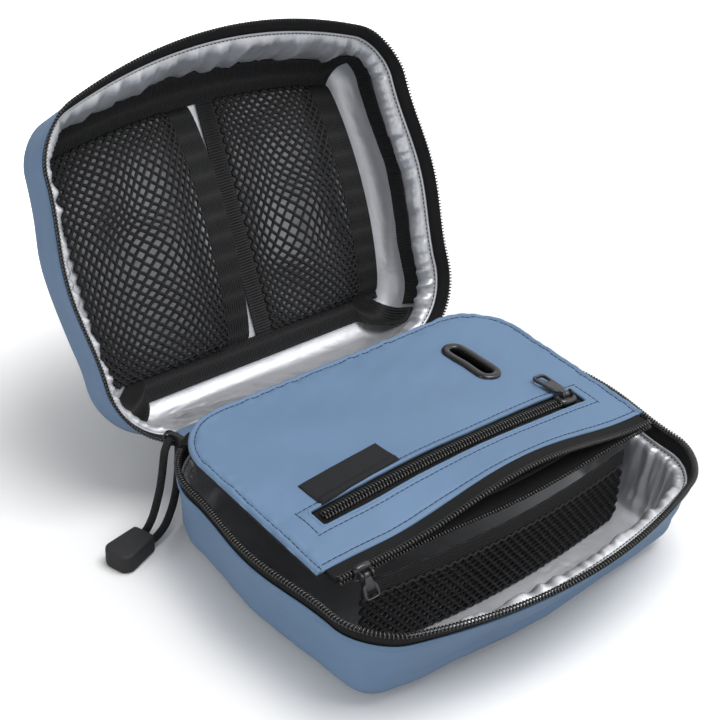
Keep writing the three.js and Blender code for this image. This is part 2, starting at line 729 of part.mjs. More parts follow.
// Strip of cloth that carries the pouch's back edge, sewn inside the base's back wall
function pouchStrip() {
  const half = HALF_WIDTH - BACK_CORNER - POCKET_CLEAR;
  const back = BACK_Y - BASE_INSIDE - CLEAR;
  const top = pouchBottom(half, 0) - POUCH_CLOTH - CLEAR;
  return boxBetween(
    new THREE.Vector3(-half, back - POUCH_STRIP, HEM_Z - BAND_WIDTH),
    new THREE.Vector3(half, back, top),
  );
}
add('pouch_hinge_strip', pouchStrip(), blackTape);

// Strip across the pouch, with a four-cornered section in Y and Z at each step along X
function crossStrip(from, to, steps, nearY, depth, lowAt, height, ridge = 0) {
  const sections = Array.from({ length: steps + 1 }, (_, k) => {
    const x = mix(from, to, k / steps);
    const swell = (k % 2) * ridge;
    return SQUARE.map((c) => new THREE.Vector3(
      x,
      nearY - swell - c.x * (depth - 2 * swell),
      lowAt(x) + c.y * (height - swell),
    ));
  });
  return loft(sections, SQUARE);
}

// Zip let into the pouch's top: tape under the window and its closed coil
const weltTapeLow = (x) => pouchTop(x, WELT_FROM_BACK) - CLEAR - TAPE - SLOPE_CLEAR;
const weltTapeEnd = WELT_HALF + WELT_WINDOW / 2 + WELT_END;
add('welt_tape', crossStrip(
  -weltTapeEnd, weltTapeEnd, WELT_TAPE_STEPS, weltY + WELT_TAPE_WIDTH / 2,
  WELT_TAPE_WIDTH, weltTapeLow, TAPE,
), blackTape, pouch);
const weltCoilLow = (x) => weltTapeLow(x) + TAPE + CLEAR;
add('welt_coil', crossStrip(
  -WELT_HALF, WELT_HALF, WELT_COIL_STEPS, weltY + WELT_COIL / 2,
  WELT_COIL, weltCoilLow, WELT_COIL_HEIGHT, WELT_COIL_RIDGE,
), blackCoil, pouch);

// Zip along the pouch's mouth: a tape and coil on each lip
const lipTapeY = pouchFrontY - CLEAR;
const lipCoilY = lipTapeY - LIP_TAPE - CLEAR;
const lipEnd = POUCH_HALF - LIP_END;
const upperLip = (x) => pouchTop(x, POUCH_DEPTH);
const lowerLip = (x) => pouchBottom(x, POUCH_DEPTH);
add('mouth_upper_tape', crossStrip(
  -lipEnd, lipEnd, LIP_TAPE_STEPS, lipTapeY, LIP_TAPE, upperLip, TAPE,
), blackTape, pouch);
add('mouth_upper_coil', crossStrip(
  -lipEnd, lipEnd, LIP_COIL_STEPS, lipCoilY, LIP_COIL, upperLip, LIP_COIL_HEIGHT, COIL_RIDGE,
), blackCoil, pouch);
add('mouth_lower_tape', crossStrip(
  -lipEnd, lipEnd, LIP_TAPE_STEPS, lipTapeY, LIP_TAPE, (x) => lowerLip(x) - TAPE, TAPE,
), blackTape, pouch);
const lowerCoilLow = (x) => lowerLip(x) - LIP_COIL_HEIGHT;
add('mouth_lower_coil', crossStrip(
  -lipEnd, lipEnd, LIP_COIL_STEPS, lipCoilY, LIP_COIL, lowerCoilLow, LIP_COIL_HEIGHT, COIL_RIDGE,
), blackCoil, pouch);

// Eyelet of the drop slot: a flange on the panel and a collar through it
function eyelet() {
  const outer = SLOT_WIDTH + 2 * EYELET_FLANGE;
  const collar = SLOT_WIDTH + 2 * EYELET_WALL;
  const ends = SLOT_LENGTH - SLOT_WIDTH;
  const flange = extrude(roundEnded(ends + outer, outer), EYELET_HEIGHT);
  const depth = POUCH_CLOTH + 2 * CLEAR;
  const tube = extrude(roundEnded(ends + collar, collar), depth + EYELET_HEIGHT).translate(0, 0, -depth);
  const hole = extrude(roundEnded(SLOT_LENGTH, SLOT_WIDTH), 2 * (depth + EYELET_HEIGHT))
    .translate(0, 0, -2 * depth);
  return cut(joined(flange, tube), hole);
}

// Slopes of the pouch's top at a place, for pieces that lie on it
function layOnPouch(object, x, fromBack, lift) {
  const step = 1;
  const z = pouchTop(x, fromBack);
  const slopeX = (pouchTop(x + step, fromBack) - pouchTop(x - step, fromBack)) / (2 * step);
  const slopeY = (pouchTop(x, fromBack - step) - pouchTop(x, fromBack + step)) / (2 * step);
  object.position.set(x, POUCH_Y - fromBack, z + lift);
  object.rotation.set(Math.atan(slopeY), -Math.atan(slopeX), 0);
  return object;
}
const eyeletSeat = layOnPouch(new THREE.Group(), SLOT_X, SLOT_FROM_BACK, POUCH_CLOTH + 2 * CLEAR);
pouch.add(eyeletSeat);
add('slot_eyelet', eyelet(), blackPlastic, eyeletSeat);

// Bare label that follows the panel under it
function label() {
  const turn = degrees(LABEL_TURN);
  const grid = (lift) => [0, 0.5, 1].map((v) => [0, 0.25, 0.5, 0.75, 1].map((u) => {
    const [along, back] = [(u - 0.5) * LABEL_LENGTH, (v - 0.5) * LABEL_WIDTH];
    const x = LABEL_X + along * Math.cos(turn) - back * Math.sin(turn);
    const y = weltY + LABEL_FROM_WELT + along * Math.sin(turn) + back * Math.cos(turn);
    return new THREE.Vector3(x, y, pouchTop(x, POUCH_Y - y) + POUCH_CLOTH + CLEAR + lift);
  }));
  return gridSolid(grid(0), grid(LABEL_CLOTH));
}
add('woven_label', label(), labelCloth, pouch);

// Slider: a channel over the coil, with two ears and a pin for its pull. It is drawn with the coil
// along X, the channel open downwards, and its top at the origin.
function sliderBody(coilWidth, coilHeight) {
  const inner = coilWidth / 2 + CLEAR;
  const outer = inner + SLIDER_PLATE;
  const skirt = coilHeight + CLEAR;
  const channel = new THREE.Shape([
    [-outer, 0], [-outer, -SLIDER_PLATE - skirt], [-inner, -SLIDER_PLATE - skirt], [-inner, -SLIDER_PLATE],
    [inner, -SLIDER_PLATE], [inner, -SLIDER_PLATE - skirt], [outer, -SLIDER_PLATE - skirt], [outer, 0],
  ].map(([a, b]) => new THREE.Vector2(a, b)));
  const body = extrude(channel, PULL_SLIDER)
    .translate(0, 0, -PULL_SLIDER / 2)
    .rotateX(Math.PI / 2)
    .rotateZ(Math.PI / 2);
  const earX = PULL_WIDTH / 4 + CLEAR;
  const ear = (x) => new THREE.BoxGeometry(EAR, KNUCKLE, EAR_HEIGHT + SLIDER_PLATE / 2)
    .translate(x, 0, EAR_HEIGHT / 2 - SLIDER_PLATE / 4);
  const pin = new THREE.CylinderGeometry(PULL_PIN / 2, PULL_PIN / 2, 2 * earX + EAR, 8)
    .rotateZ(Math.PI / 2)
    .translate(0, 0, PIN_HEIGHT);
  return joined(body, ear(-earX - EAR / 2), ear(earX + EAR / 2), pin);
}

// Pull tab: a tapered plate with a hole near its end and a knuckle round the pin, along +Y
function pullTab(length) {
  const half = PULL_WIDTH / 2;
  const knuckleHalf = PULL_WIDTH / 4;
  const plate = new THREE.Shape();
  plate.moveTo(-knuckleHalf, 0);
  plate.lineTo(knuckleHalf, 0);
  plate.lineTo(knuckleHalf, KNUCKLE);
  plate.lineTo(half, 2 * KNUCKLE);
  plate.lineTo(half, length - half);
  plate.absarc(0, length - half, half, 0, Math.PI, false);
  plate.lineTo(-half, 2 * KNUCKLE);
  plate.lineTo(-knuckleHalf, KNUCKLE);
  plate.closePath();
  const hole = new THREE.Path();
  hole.absarc(0, length - half, half / 2, 0, 2 * Math.PI, true);
  plate.holes.push(hole);
  const flat = extrude(plate, PULL_PLATE, 5).translate(0, 0, -PULL_PLATE / 2);
  const knuckle = new THREE.CylinderGeometry(KNUCKLE / 2, KNUCKLE / 2, PULL_WIDTH / 2, 12)
    .rotateZ(Math.PI / 2);
  const bore = new THREE.CylinderGeometry(PULL_PIN / 2 + CLEAR, PULL_PIN / 2 + CLEAR, PULL_WIDTH, 8)
    .rotateZ(Math.PI / 2);
  return cut(joined(flat, knuckle), bore);
}

// Slider and pull of the zip in the pouch's top, set on the arch of its coil
const weltSlider = new THREE.Group();
const weltSlope = Math.atan((-2 * WELT_CROWN * WELT_SLIDER_X) / POUCH_HALF ** 2);
const weltSliderTop = weltCoilLow(WELT_SLIDER_X) + WELT_COIL_HEIGHT + CLEAR + SLIDER_PLATE;
weltSlider.position.set(WELT_SLIDER_X, weltY, weltSliderTop);
weltSlider.rotation.y = -weltSlope;
pouch.add(weltSlider);
add('welt_slider', sliderBody(WELT_COIL, WELT_COIL_HEIGHT), darkMetal, weltSlider);
const weltPull = add('welt_pull', pullTab(PULL_LENGTH), darkMetal, weltSlider);
weltPull.position.z = PIN_HEIGHT;
weltPull.rotation.x = -degrees(WELT_PULL_DIP);

// Slider and pull of the mouth's zip, at the closed left end, facing forwards
const lipSlider = new THREE.Group();
const bothCoils = 2 * LIP_COIL_HEIGHT + SEAM;
lipSlider.position.set(
  LIP_SLIDER_X,
  lipCoilY - LIP_COIL - CLEAR - SLIDER_PLATE,
  (upperLip(LIP_SLIDER_X) + lowerLip(LIP_SLIDER_X)) / 2,
);
lipSlider.rotation.x = Math.PI / 2;
pouch.add(lipSlider);
add('mouth_slider', sliderBody(bothCoils, LIP_COIL), darkMetal, lipSlider);
const lipPull = add('mouth_pull', pullTab(LIP_PULL_LENGTH), darkMetal, lipSlider);
lipPull.position.z = PIN_HEIGHT;
lipPull.rotation.x = Math.PI / 2 + degrees(LIP_PULL_DIP);

// Main slider: a channel over the base's coil at the end of the zip, curved with the back corner,
// with an eye for the cord
const cornerX = -(HALF_WIDTH - BACK_CORNER);
const cornerY = BACK_Y - BACK_CORNER;
const sliderSweep = SLIDER_LENGTH / BACK_CORNER;
const sliderStart = (SLIDER_START_SHARE * Math.PI) / 2;
const eyeTurn = sliderStart + sliderSweep / 2;
const coilOutside = (z) => BACK_CORNER - baseLevel(z, COIL_SET_IN).inset;

function mainSlider() {
  const top = COIL_Z + COIL_HEIGHT + CLEAR + SLIDER_PLATE;
  const low = COIL_Z - CLEAR;
  const leanShift = baseLevel(low, 0).inset - baseLevel(COIL_Z + COIL_HEIGHT, 0).inset;
  const outside = coilOutside(COIL_Z + COIL_HEIGHT) + CLEAR;
  const inside = coilOutside(COIL_Z) - COIL_WIDTH - CLEAR - leanShift;
  const profile = [
    [outside + SLIDER_PLATE, low], [outside + SLIDER_PLATE, top], [inside - SLIDER_PLATE, top],
    [inside - SLIDER_PLATE, low], [inside, low], [inside, top - SLIDER_PLATE],
    [outside, top - SLIDER_PLATE], [outside, low],
  ].map(([radius, z]) => new THREE.Vector2(radius, z));
  const sections = Array.from({ length: SLIDER_STEPS + 1 }, (_, k) => {
    const turn = sliderStart + sliderSweep * (k / SLIDER_STEPS);
    return profile.map((p) => new THREE.Vector3(
      cornerX - p.x * Math.sin(turn),
      cornerY + p.x * Math.cos(turn),
      p.y,
    ));
  });
  const eyeShape = new THREE.Shape();
  const eyeHalf = (top - low) / 2;
  const eyeRadius = Math.max(eyeHalf, EYE_HOLE / 2 + SLIDER_PLATE);
  const eyeOut = EYE_REACH - SLIDER_PLATE / 2;
  eyeShape.moveTo(-eyeOut, -eyeHalf);
  eyeShape.lineTo(0, -eyeRadius);
  eyeShape.absarc(0, 0, eyeRadius, -Math.PI / 2, Math.PI / 2, false);
  eyeShape.lineTo(-eyeOut, eyeHalf);
  eyeShape.closePath();
  const hole = new THREE.Path();
  hole.absarc(0, 0, EYE_HOLE / 2, 0, 2 * Math.PI, true);
  eyeShape.holes.push(hole);
  const eye = extrude(eyeShape, EYE_PLATE, 8)
    .translate(0, 0, -EYE_PLATE / 2)
    .rotateX(Math.PI / 2)
    .translate(outside + EYE_REACH, 0, (top + low) / 2)
    .rotateZ(Math.PI / 2 + eyeTurn)
    .translate(cornerX, cornerY, 0);
  return joined(loft(sections, profile), eye);
}
add('main_slider', mainSlider(), blackPlastic);

// Cord pull: one loop through the eye, down the outside of the corner and along the surface to
// its moulded end
const cordEndMouth = new THREE.Vector3(-104.3, 80.9, 4.6);
const cordEndTurn = 196.8;
const cordRoute = [
  [-97.8, 85.2, 10.2], [-95.0, 85.6, 17], [-93.2, 85.2, 25], [-92.2, 84.6, 33], [-91.8, 83.7, 40.6],
  [-90.4, 84.4, 45.2], [-85.6, 87.2, 48], [-80.8, 90, 45.2], [-79.4, 90.9, 40.6], [-79.3, 91.2, 33],
  [-80.4, 90.3, 25], [-83, 88.2, 17], [-88, 84.8, 10.2], [-94, 81.4, 6],
];

function cordEntry(side, out) {
  const along = new THREE.Vector3(1, 0, 0).applyAxisAngle(new THREE.Vector3(0, 0, 1), degrees(cordEndTurn));
  const across = new THREE.Vector3(-along.y, along.x, 0);
  return cordEndMouth.clone().addScaledVector(across, side * CORD_ENTRY_SPREAD).addScaledVector(along, -out);
}

function cord() {
  const points = [
    cordEntry(-1, CLEAR),
    cordEntry(-1, CORD),
    ...cordRoute.map(([x, y, z]) => new THREE.Vector3(x, y, z)),
    cordEntry(1, CORD),
    cordEntry(1, CLEAR),
  ];
  const section = new THREE.Shape();
  for (let k = 0; k < CORD_SIDES; k++) {
    const angle = (2 * Math.PI * k) / CORD_SIDES;
    const spot = [(CORD / 2) * Math.cos(angle), (CORD / 2) * Math.sin(angle)];
    if (k === 0) section.moveTo(...spot);
    else section.lineTo(...spot);
  }
  section.closePath();
  const path = new THREE.CatmullRomCurve3(points, false, 'centripetal');
  return new THREE.ExtrudeGeometry(section, { steps: CORD_STEPS, extrudePath: path, bevelEnabled: false });
}
add('pull_cord', cord(), cordFinish);

// Moulded end: a block that widens away from the cord, with rounded edges along its length
function cordEnd() {
  const edge = CORD_END_EDGE;
  const section = (half, low, high) => [
    [-half, low + edge], [-half + edge, low], [half - edge, low], [half, low + edge],
    [half, high - edge], [half - edge, high], [-half + edge, high], [-half, high - edge],
  ].map(([y, z]) => new THREE.Vector2(y, z));
  const [neck, wide, draft] = [CORD_END_NECK / 2, CORD_END_WIDTH / 2, CORD_END_DRAFT];
  const stages = [
    [0, neck - draft, draft], [2 * edge, neck, 0],
    [CORD_END_LENGTH - 2 * edge, wide, 0], [CORD_END_LENGTH, wide - draft, draft],
  ];
  const rings = stages.map(([x, half, shrink]) => (
    section(half, shrink, CORD_END_HEIGHT - shrink).map((p) => new THREE.Vector3(x, p.x, p.y))
  ));
  return loft(rings, section(CORD_END_NECK / 2, 0, CORD_END_HEIGHT));
}
const cordEndMesh = add('cord_end', cordEnd(), blackPlastic);
cordEndMesh.position.set(cordEndMouth.x, cordEndMouth.y, 0);
cordEndMesh.rotation.z = degrees(cordEndTurn);

export default caseGroup;
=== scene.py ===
import bmesh
import bpy
import numpy as np
from mathutils import Matrix, Vector


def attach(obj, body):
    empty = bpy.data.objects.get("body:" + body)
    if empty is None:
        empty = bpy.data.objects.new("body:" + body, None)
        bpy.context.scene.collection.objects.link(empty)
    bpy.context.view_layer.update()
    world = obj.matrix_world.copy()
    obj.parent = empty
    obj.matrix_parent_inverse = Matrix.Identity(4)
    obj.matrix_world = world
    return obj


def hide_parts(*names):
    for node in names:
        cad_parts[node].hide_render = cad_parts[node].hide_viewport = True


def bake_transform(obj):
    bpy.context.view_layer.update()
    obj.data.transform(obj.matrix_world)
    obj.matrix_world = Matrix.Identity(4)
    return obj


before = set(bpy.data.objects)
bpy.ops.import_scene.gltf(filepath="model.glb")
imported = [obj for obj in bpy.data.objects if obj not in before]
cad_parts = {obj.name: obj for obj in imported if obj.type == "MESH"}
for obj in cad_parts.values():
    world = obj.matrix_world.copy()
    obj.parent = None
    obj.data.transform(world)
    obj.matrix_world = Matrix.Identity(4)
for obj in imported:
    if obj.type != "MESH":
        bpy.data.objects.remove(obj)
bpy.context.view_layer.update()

# Camera: stands in front of the case's left corner and above it, and looks along its diagonal.
# The lens is long, and the frame is turned a few degrees about the line of sight.
CAMERA_AT = Vector((-0.3821, -0.3803, 0.4482))
CAMERA_AIM = Vector((-0.0277, 0.0295, 0.0976))
CAMERA_LENS = 76.9
CAMERA_ROLL = np.radians(2.9)

away = (CAMERA_AT - CAMERA_AIM).normalized()
level_right = Vector((0, 0, 1)).cross(away).normalized()
level_up = away.cross(level_right)
view_right = np.cos(CAMERA_ROLL) * level_right + np.sin(CAMERA_ROLL) * level_up
view_up = away.cross(view_right)
camera = bpy.data.objects.new("camera", bpy.data.cameras.new("camera"))
camera.data.lens = CAMERA_LENS
camera_turn = Matrix((view_right, view_up, away)).transposed().to_4x4()
camera.matrix_world = Matrix.Translation(CAMERA_AT) @ camera_turn
bpy.context.collection.objects.link(camera)
bpy.context.scene.camera = camera


# Cord pull: one loop of black braided cord through the eye of the main slider. It hangs down the
# outside of the corner to the surface, where a moulded end holds both of its ends.
CORD = 0.0036
CORD_SIDES = 14
CORD_SAMPLES = 220
CORD_END_MOUTH = np.array([-0.1043, 0.0809, 0.0046])
CORD_END_TURN = np.radians(196.8)
CORD_ENTRY_SPREAD = 0.0032
CORD_ENTRY_GAP = 0.0003
CORD_ROUTE = np.array([
    [-0.0978, 0.0852, 0.0102], [-0.0950, 0.0856, 0.017], [-0.0932, 0.0852, 0.025],
    [-0.0922, 0.0846, 0.033], [-0.0918, 0.0837, 0.0406], [-0.0904, 0.0844, 0.0452],
    [-0.0856, 0.0872, 0.048], [-0.0808, 0.0900, 0.0452], [-0.0794, 0.0909, 0.0406],
    [-0.0793, 0.0912, 0.033], [-0.0804, 0.0903, 0.025], [-0.0830, 0.0882, 0.017],
    [-0.0880, 0.0848, 0.0102], [-0.0940, 0.0814, 0.006],
])
CORD_LOOP_NORMAL = np.array([-0.46, 0.888, 0])
FINE_DEPTH = 0.0004
UP = np.array([0.0, 0.0, 1.0])


def unit(vectors):
    """The same directions with length one."""
    return vectors / np.maximum(np.linalg.norm(vectors, axis=-1, keepdims=True), 1e-12)


def rows_of(*columns):
    """Rows from columns of values, such as points from x, y and z: a column may be one value for all."""
    return np.stack(np.broadcast_arrays(*columns), axis=-1)


def walked_along(path):
    """Length from the start of a path to each of its points."""
    return np.r_[0, np.cumsum(np.linalg.norm(np.diff(path, axis=0), axis=1))]


def smooth_line(points, count):
    """Curve through the points: cubic pieces, with a slope at each point that its neighbours give."""
    knots = np.r_[0, np.cumsum(np.sqrt(np.linalg.norm(np.diff(points, axis=0), axis=1)))]
    slopes = np.gradient(points, knots, axis=0)
    at = np.linspace(0, knots[-1], count)
    k = np.clip(np.searchsorted(knots, at, side="right") - 1, 0, len(knots) - 2)
    gap = (knots[k + 1] - knots[k])[:, None]
    t = (at[:, None] - knots[k][:, None]) / gap
    return (
        (1 + 2 * t) * (1 - t) ** 2 * points[k]
        + t * (1 - t) ** 2 * gap * slopes[k]
        + t ** 2 * (3 - 2 * t) * points[k + 1]
        + t ** 2 * (t - 1) * gap * slopes[k + 1]
    )


def make_piece(name, vertices, faces, corner_uv, material):
    """Object from points, faces and one UV pair for each face corner, with its faces turned outwards."""
    mesh = bpy.data.meshes.new(name)
    mesh.from_pydata(vertices.tolist(), [], faces)
    mesh.uv_layers.new(name="cloth")
    mesh.uv_layers[0].data.foreach_set("uv", np.asarray(corner_uv, np.float32).ravel())
    shape = bmesh.new()
    shape.from_mesh(mesh)
    inside_out = shape.calc_volume(signed=True) < 0
    shape.free()
    if inside_out:
        mesh.flip_normals()
    mesh.polygons.foreach_set("use_smooth", np.ones(len(mesh.polygons), bool))
    mesh.materials.append(material)
    piece = bpy.data.objects.new(name, mesh)
    bpy.context.collection.objects.link(piece)
    return piece


def running_length(points, axis):
    """Mean distance walked along one axis of a grid of points, in metres."""
    steps = np.linalg.norm(np.diff(points, axis=axis), axis=-1).mean(axis=1 - axis)
    return np.r_[0, np.cumsum(steps)]


def surface(name, points, material, loop=False):
    """Closed skin of a grid of points, whose columns go round: four neighbours make a face. The last
    row joins the first with loop, and otherwise flat faces close the two ends. The UV map holds the
    lengths along the rows and round the columns, in metres."""
    rows, columns = points.shape[:2]
    index = np.arange(rows * columns).reshape(rows, columns)
    closed = np.concatenate([points, points[:, :1]], axis=1)
    closed = np.concatenate([closed, closed[:1]]) if loop else closed
    along = running_length(closed, 0)
    around = running_length(closed, 1)
    first, second = np.meshgrid(np.arange(rows if loop else rows - 1), np.arange(columns), indexing="ij")
    corners = [(first, second), (first, second + 1), (first + 1, second + 1), (first + 1, second)]
    quads = rows_of(*(index[a % rows, b % columns] for a, b in corners)).reshape(-1, 4)
    uv = np.stack([rows_of(along[a], around[b]) for a, b in corners], axis=2).reshape(-1, 2)
    faces = quads.tolist()
    if not loop:
        faces += [index[0, ::-1].tolist(), index[-1].tolist()]
        uv = np.concatenate([uv, np.zeros((2 * columns, 2))])
    return make_piece(name, points.reshape(-1, 3), faces, uv, material)


def sweep(name, path, across, normal, profile, material, loop=False):
    """Skin of a flat profile carried along a path: each profile point is set off along the two
    directions that the path has there, or has all along."""
    across, normal = (np.broadcast_to(way, path.shape)[:, None] for way in (across, normal))
    points = path[:, None] + profile[:, 0, None] * across + profile[:, 1, None] * normal
    return surface(name, points, material, loop)


def round_profile(width, height, sides, power=2.0):
    """Closed outline of a bar: a circle at power 2, and squarer with rounded corners above it."""
    angle = np.linspace(0, 2 * np.pi, sides, endpoint=False) + np.pi / sides
    bulge = rows_of(np.cos(angle), np.sin(angle))
    return np.sign(bulge) * np.abs(bulge) ** (2 / power) * np.array([width / 2, height / 2])


def on_body(piece, body, node=None):
    """A finished piece rides on its body, and it may stand for a CAD node, which is then hidden."""
    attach(piece, body)
    if node:
        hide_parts(node)
    return piece


def new_group(name, inputs, outputs):
    """Empty shader node group: inputs with a type and a starting value, and outputs with a type."""
    group = bpy.data.node_groups.new(name, "ShaderNodeTree")
    for label, kind, value in inputs:
        socket = group.interface.new_socket(label, in_out="INPUT", socket_type="NodeSocket" + kind)
        if value is not None:
            socket.default_value = value
    for label, kind in outputs:
        group.interface.new_socket(label, in_out="OUTPUT", socket_type="NodeSocket" + kind)
    return group, group.nodes.new("NodeGroupInput"), group.nodes.new("NodeGroupOutput")


def add_node(tree, kind, ordered=(), settings=None, **named):
    """Node of a kind with its settings. Its inputs, in order or by name, get a value or a link."""
    node = tree.nodes.new("ShaderNode" + kind)
    for key, value in (settings or {}).items():
        setattr(node, key, value)
    by_name = [(node.inputs[key.replace("_", " ")], value) for key, value in named.items()]
    for socket, value in [*zip(node.inputs, ordered), *by_name]:
        if isinstance(value, bpy.types.NodeSocket):
            tree.links.new(value, socket)
        else:
            socket.default_value = value
    return node


def math_node(tree, operation, *values):
    """Output of a Math node on values or sockets."""
    return add_node(tree, "Math", values, {"operation": operation}).outputs[0]


# Ribs: lengthwise and crosswise threads of a tape, band or cord, from its own UV map in metres
ribs, ribs_in, ribs_out = new_group(
    "ribs",
    [("UV", "Vector", None), ("Along", "Float", 0.001), ("Across", "Float", 0.001), ("Slant", "Float", 0.0)],
    [("Height", "Float")],
)
split = add_node(ribs, "SeparateXYZ", [ribs_in.outputs["UV"]])
slant = math_node(ribs, "MULTIPLY", split.outputs["Y"], ribs_in.outputs["Slant"])
shifted = math_node(ribs, "ADD", split.outputs["X"], slant)
waves = []
for length, pitch in ((shifted, "Along"), (split.outputs["Y"], "Across")):
    turns = math_node(ribs, "DIVIDE", length, ribs_in.outputs[pitch])
    waves.append(math_node(ribs, "SINE", math_node(ribs, "MULTIPLY", turns, 2 * np.pi)))
ribs.links.new(math_node(ribs, "MULTIPLY", *waves), ribs_out.inputs["Height"])

# Mottle: uneven dye and a fine grain all over a piece, in Object coordinates
mottle, mottle_in, mottle_out = new_group(
    "mottle",
    [("Colour", "Color", (0.5, 0.5, 0.5, 1)), ("Amount", "Float", 0.1), ("Patch", "Float", 60.0),
     ("Grain", "Float", 1500.0)],
    [("Colour", "Color"), ("Height", "Float"), ("Cloud", "Float")],
)
spot = add_node(mottle, "TexCoord").outputs["Object"]
cloud = add_node(mottle, "TexNoise", Vector=spot, Scale=mottle_in.outputs["Patch"], Detail=4.0)
grain = add_node(mottle, "TexNoise", Vector=spot, Scale=mottle_in.outputs["Grain"], Detail=3.0)
centred = math_node(mottle, "SUBTRACT", cloud.outputs["Fac"], 0.5)
swing = math_node(mottle, "MULTIPLY", centred, mottle_in.outputs["Amount"])
bright = math_node(mottle, "ADD", swing, 1.0)
tinted = add_node(mottle, "HueSaturation", Color=mottle_in.outputs["Colour"], Value=bright)
mottle.links.new(tinted.outputs[0], mottle_out.inputs["Colour"])
mottle.links.new(grain.outputs["Fac"], mottle_out.inputs["Height"])
mottle.links.new(cloud.outputs["Fac"], mottle_out.inputs["Cloud"])


def add_bump(material, strength, depth, height):
    """Bump from a height, over the one that a material has."""
    tree = material.node_tree
    normal = tree.nodes["Principled BSDF"].inputs["Normal"]
    under = normal.links[0].from_socket
    bump = add_node(tree, "Bump", Strength=strength, Distance=depth, Height=height, Normal=under)
    tree.links.new(bump.outputs[0], normal)


def new_finish(name, colour, mottling, patch, grain, bump, roughness, threads=None, **sockets):
    """Principled material over the mottle group: its colour, roughness spread and fine bump. The ribs
    group goes over it where threads are given: pitch along, pitch across, slant and depth."""
    material = bpy.data.materials.new(name)
    material.use_nodes = True
    tree = material.node_tree
    shader = tree.nodes["Principled BSDF"]
    cover = add_node(tree, "Group", [(*colour, 1), mottling, patch, grain], {"node_tree": mottle})
    tree.links.new(cover.outputs["Colour"], shader.inputs["Base Color"])
    low, high = roughness
    spread = add_node(tree, "MapRange", Value=cover.outputs["Cloud"], To_Min=low, To_Max=high)
    tree.links.new(spread.outputs[0], shader.inputs["Roughness"])
    fine = add_node(tree, "Bump", Strength=bump, Distance=FINE_DEPTH, Height=cover.outputs["Height"])
    tree.links.new(fine.outputs[0], shader.inputs["Normal"])
    for label, value in sockets.items():
        shader.inputs[label.replace("_", " ")].default_value = value
    if threads:
        uv = add_node(tree, "UVMap", settings={"uv_map": "cloth"}).outputs[0]
        woven = add_node(tree, "Group", [uv, *threads[:3]], {"node_tree": ribs})
        add_bump(material, 1.0, threads[3], woven.outputs[0])
    return material


cord_finish = new_finish(
    "cord", (0.010, 0.010, 0.011), mottling=0.5, patch=300.0, grain=4000.0, bump=0.2, roughness=(0.65, 0.8),
    threads=(0.0016, 0.00157, 0.55, 0.00022), Specular_IOR_Level=0.35,
)
entry_along = np.array([np.cos(CORD_END_TURN), np.sin(CORD_END_TURN), 0])
entry_across = np.array([-entry_along[1], entry_along[0], 0])


def cord_entry(side, out):
    """Point on the cord in front of the moulded end's mouth, on one side of its middle."""
    return CORD_END_MOUTH + side * CORD_ENTRY_SPREAD * entry_across - out * entry_along


cord_line = smooth_line(np.vstack([
    cord_entry(-1, CORD_ENTRY_GAP), cord_entry(-1, CORD), CORD_ROUTE,
    cord_entry(1, CORD), cord_entry(1, CORD_ENTRY_GAP),
]), CORD_SAMPLES)
cord_heading = unit(np.gradient(cord_line, axis=0))
cord_side = unit(np.cross(cord_heading, CORD_LOOP_NORMAL))
cord_top = np.cross(cord_side, cord_heading)
cord_round = round_profile(CORD, CORD, CORD_SIDES)
pull_cord = sweep("pull_cord_braid", cord_line, cord_side, cord_top, cord_round, cord_finish)
on_body(pull_cord, "main_slider", "pull_cord")


# Cord end: a block of soft black plastic moulded over the cord's two ends. It widens away from the
# cord, and its edges are rounded.
CORD_END_LENGTH = 0.021
CORD_END_NECK = 0.012
CORD_END_WIDTH = 0.016
CORD_END_HEIGHT = 0.0095
CORD_END_WIDENS = 1.15
CORD_END_ROUND = 0.0014
CORD_END_TIP_ROUND = 0.0055
CORD_END_SQUARE = 7.0

rubber = new_finish(
    "cord_rubber", (0.016, 0.016, 0.017), mottling=0.4, patch=220.0, grain=2600.0, bump=0.25,
    roughness=(0.55, 0.7), Specular_IOR_Level=0.45,
)


def rounded_off(distance, radius):
    """How much a rounded edge takes off at a distance from it: a quarter circle, then nothing."""
    return radius - np.sqrt(radius ** 2 - (radius - np.minimum(distance, radius)) ** 2)


end_run = np.sin(np.linspace(-1, 1, 41) * np.pi / 2) * 0.5 + 0.5
from_mouth = end_run * CORD_END_LENGTH
from_tip = (1 - end_run) * CORD_END_LENGTH
end_width = CORD_END_NECK + (CORD_END_WIDTH - CORD_END_NECK) * np.clip(end_run * CORD_END_WIDENS, 0, 1)
end_width -= 2 * rounded_off(from_mouth, CORD_END_ROUND) + 2 * rounded_off(from_tip, CORD_END_TIP_ROUND)
end_height = CORD_END_HEIGHT - 2 * rounded_off(np.minimum(from_mouth, from_tip), CORD_END_ROUND)
end_line = CORD_END_MOUTH * [1, 1, 0] + from_mouth[:, None] * entry_along + CORD_END_HEIGHT / 2 * UP
end_section = round_profile(1, 1, 40, CORD_END_SQUARE)
cord_end = surface("cord_end_block", (
    end_line[:, None]
    + end_width[:, None, None] * end_section[:, 0, None] * entry_across
    + end_height[:, None, None] * end_section[:, 1, None] * UP
), rubber)
on_body(cord_end, "main_slider", "cord_end")


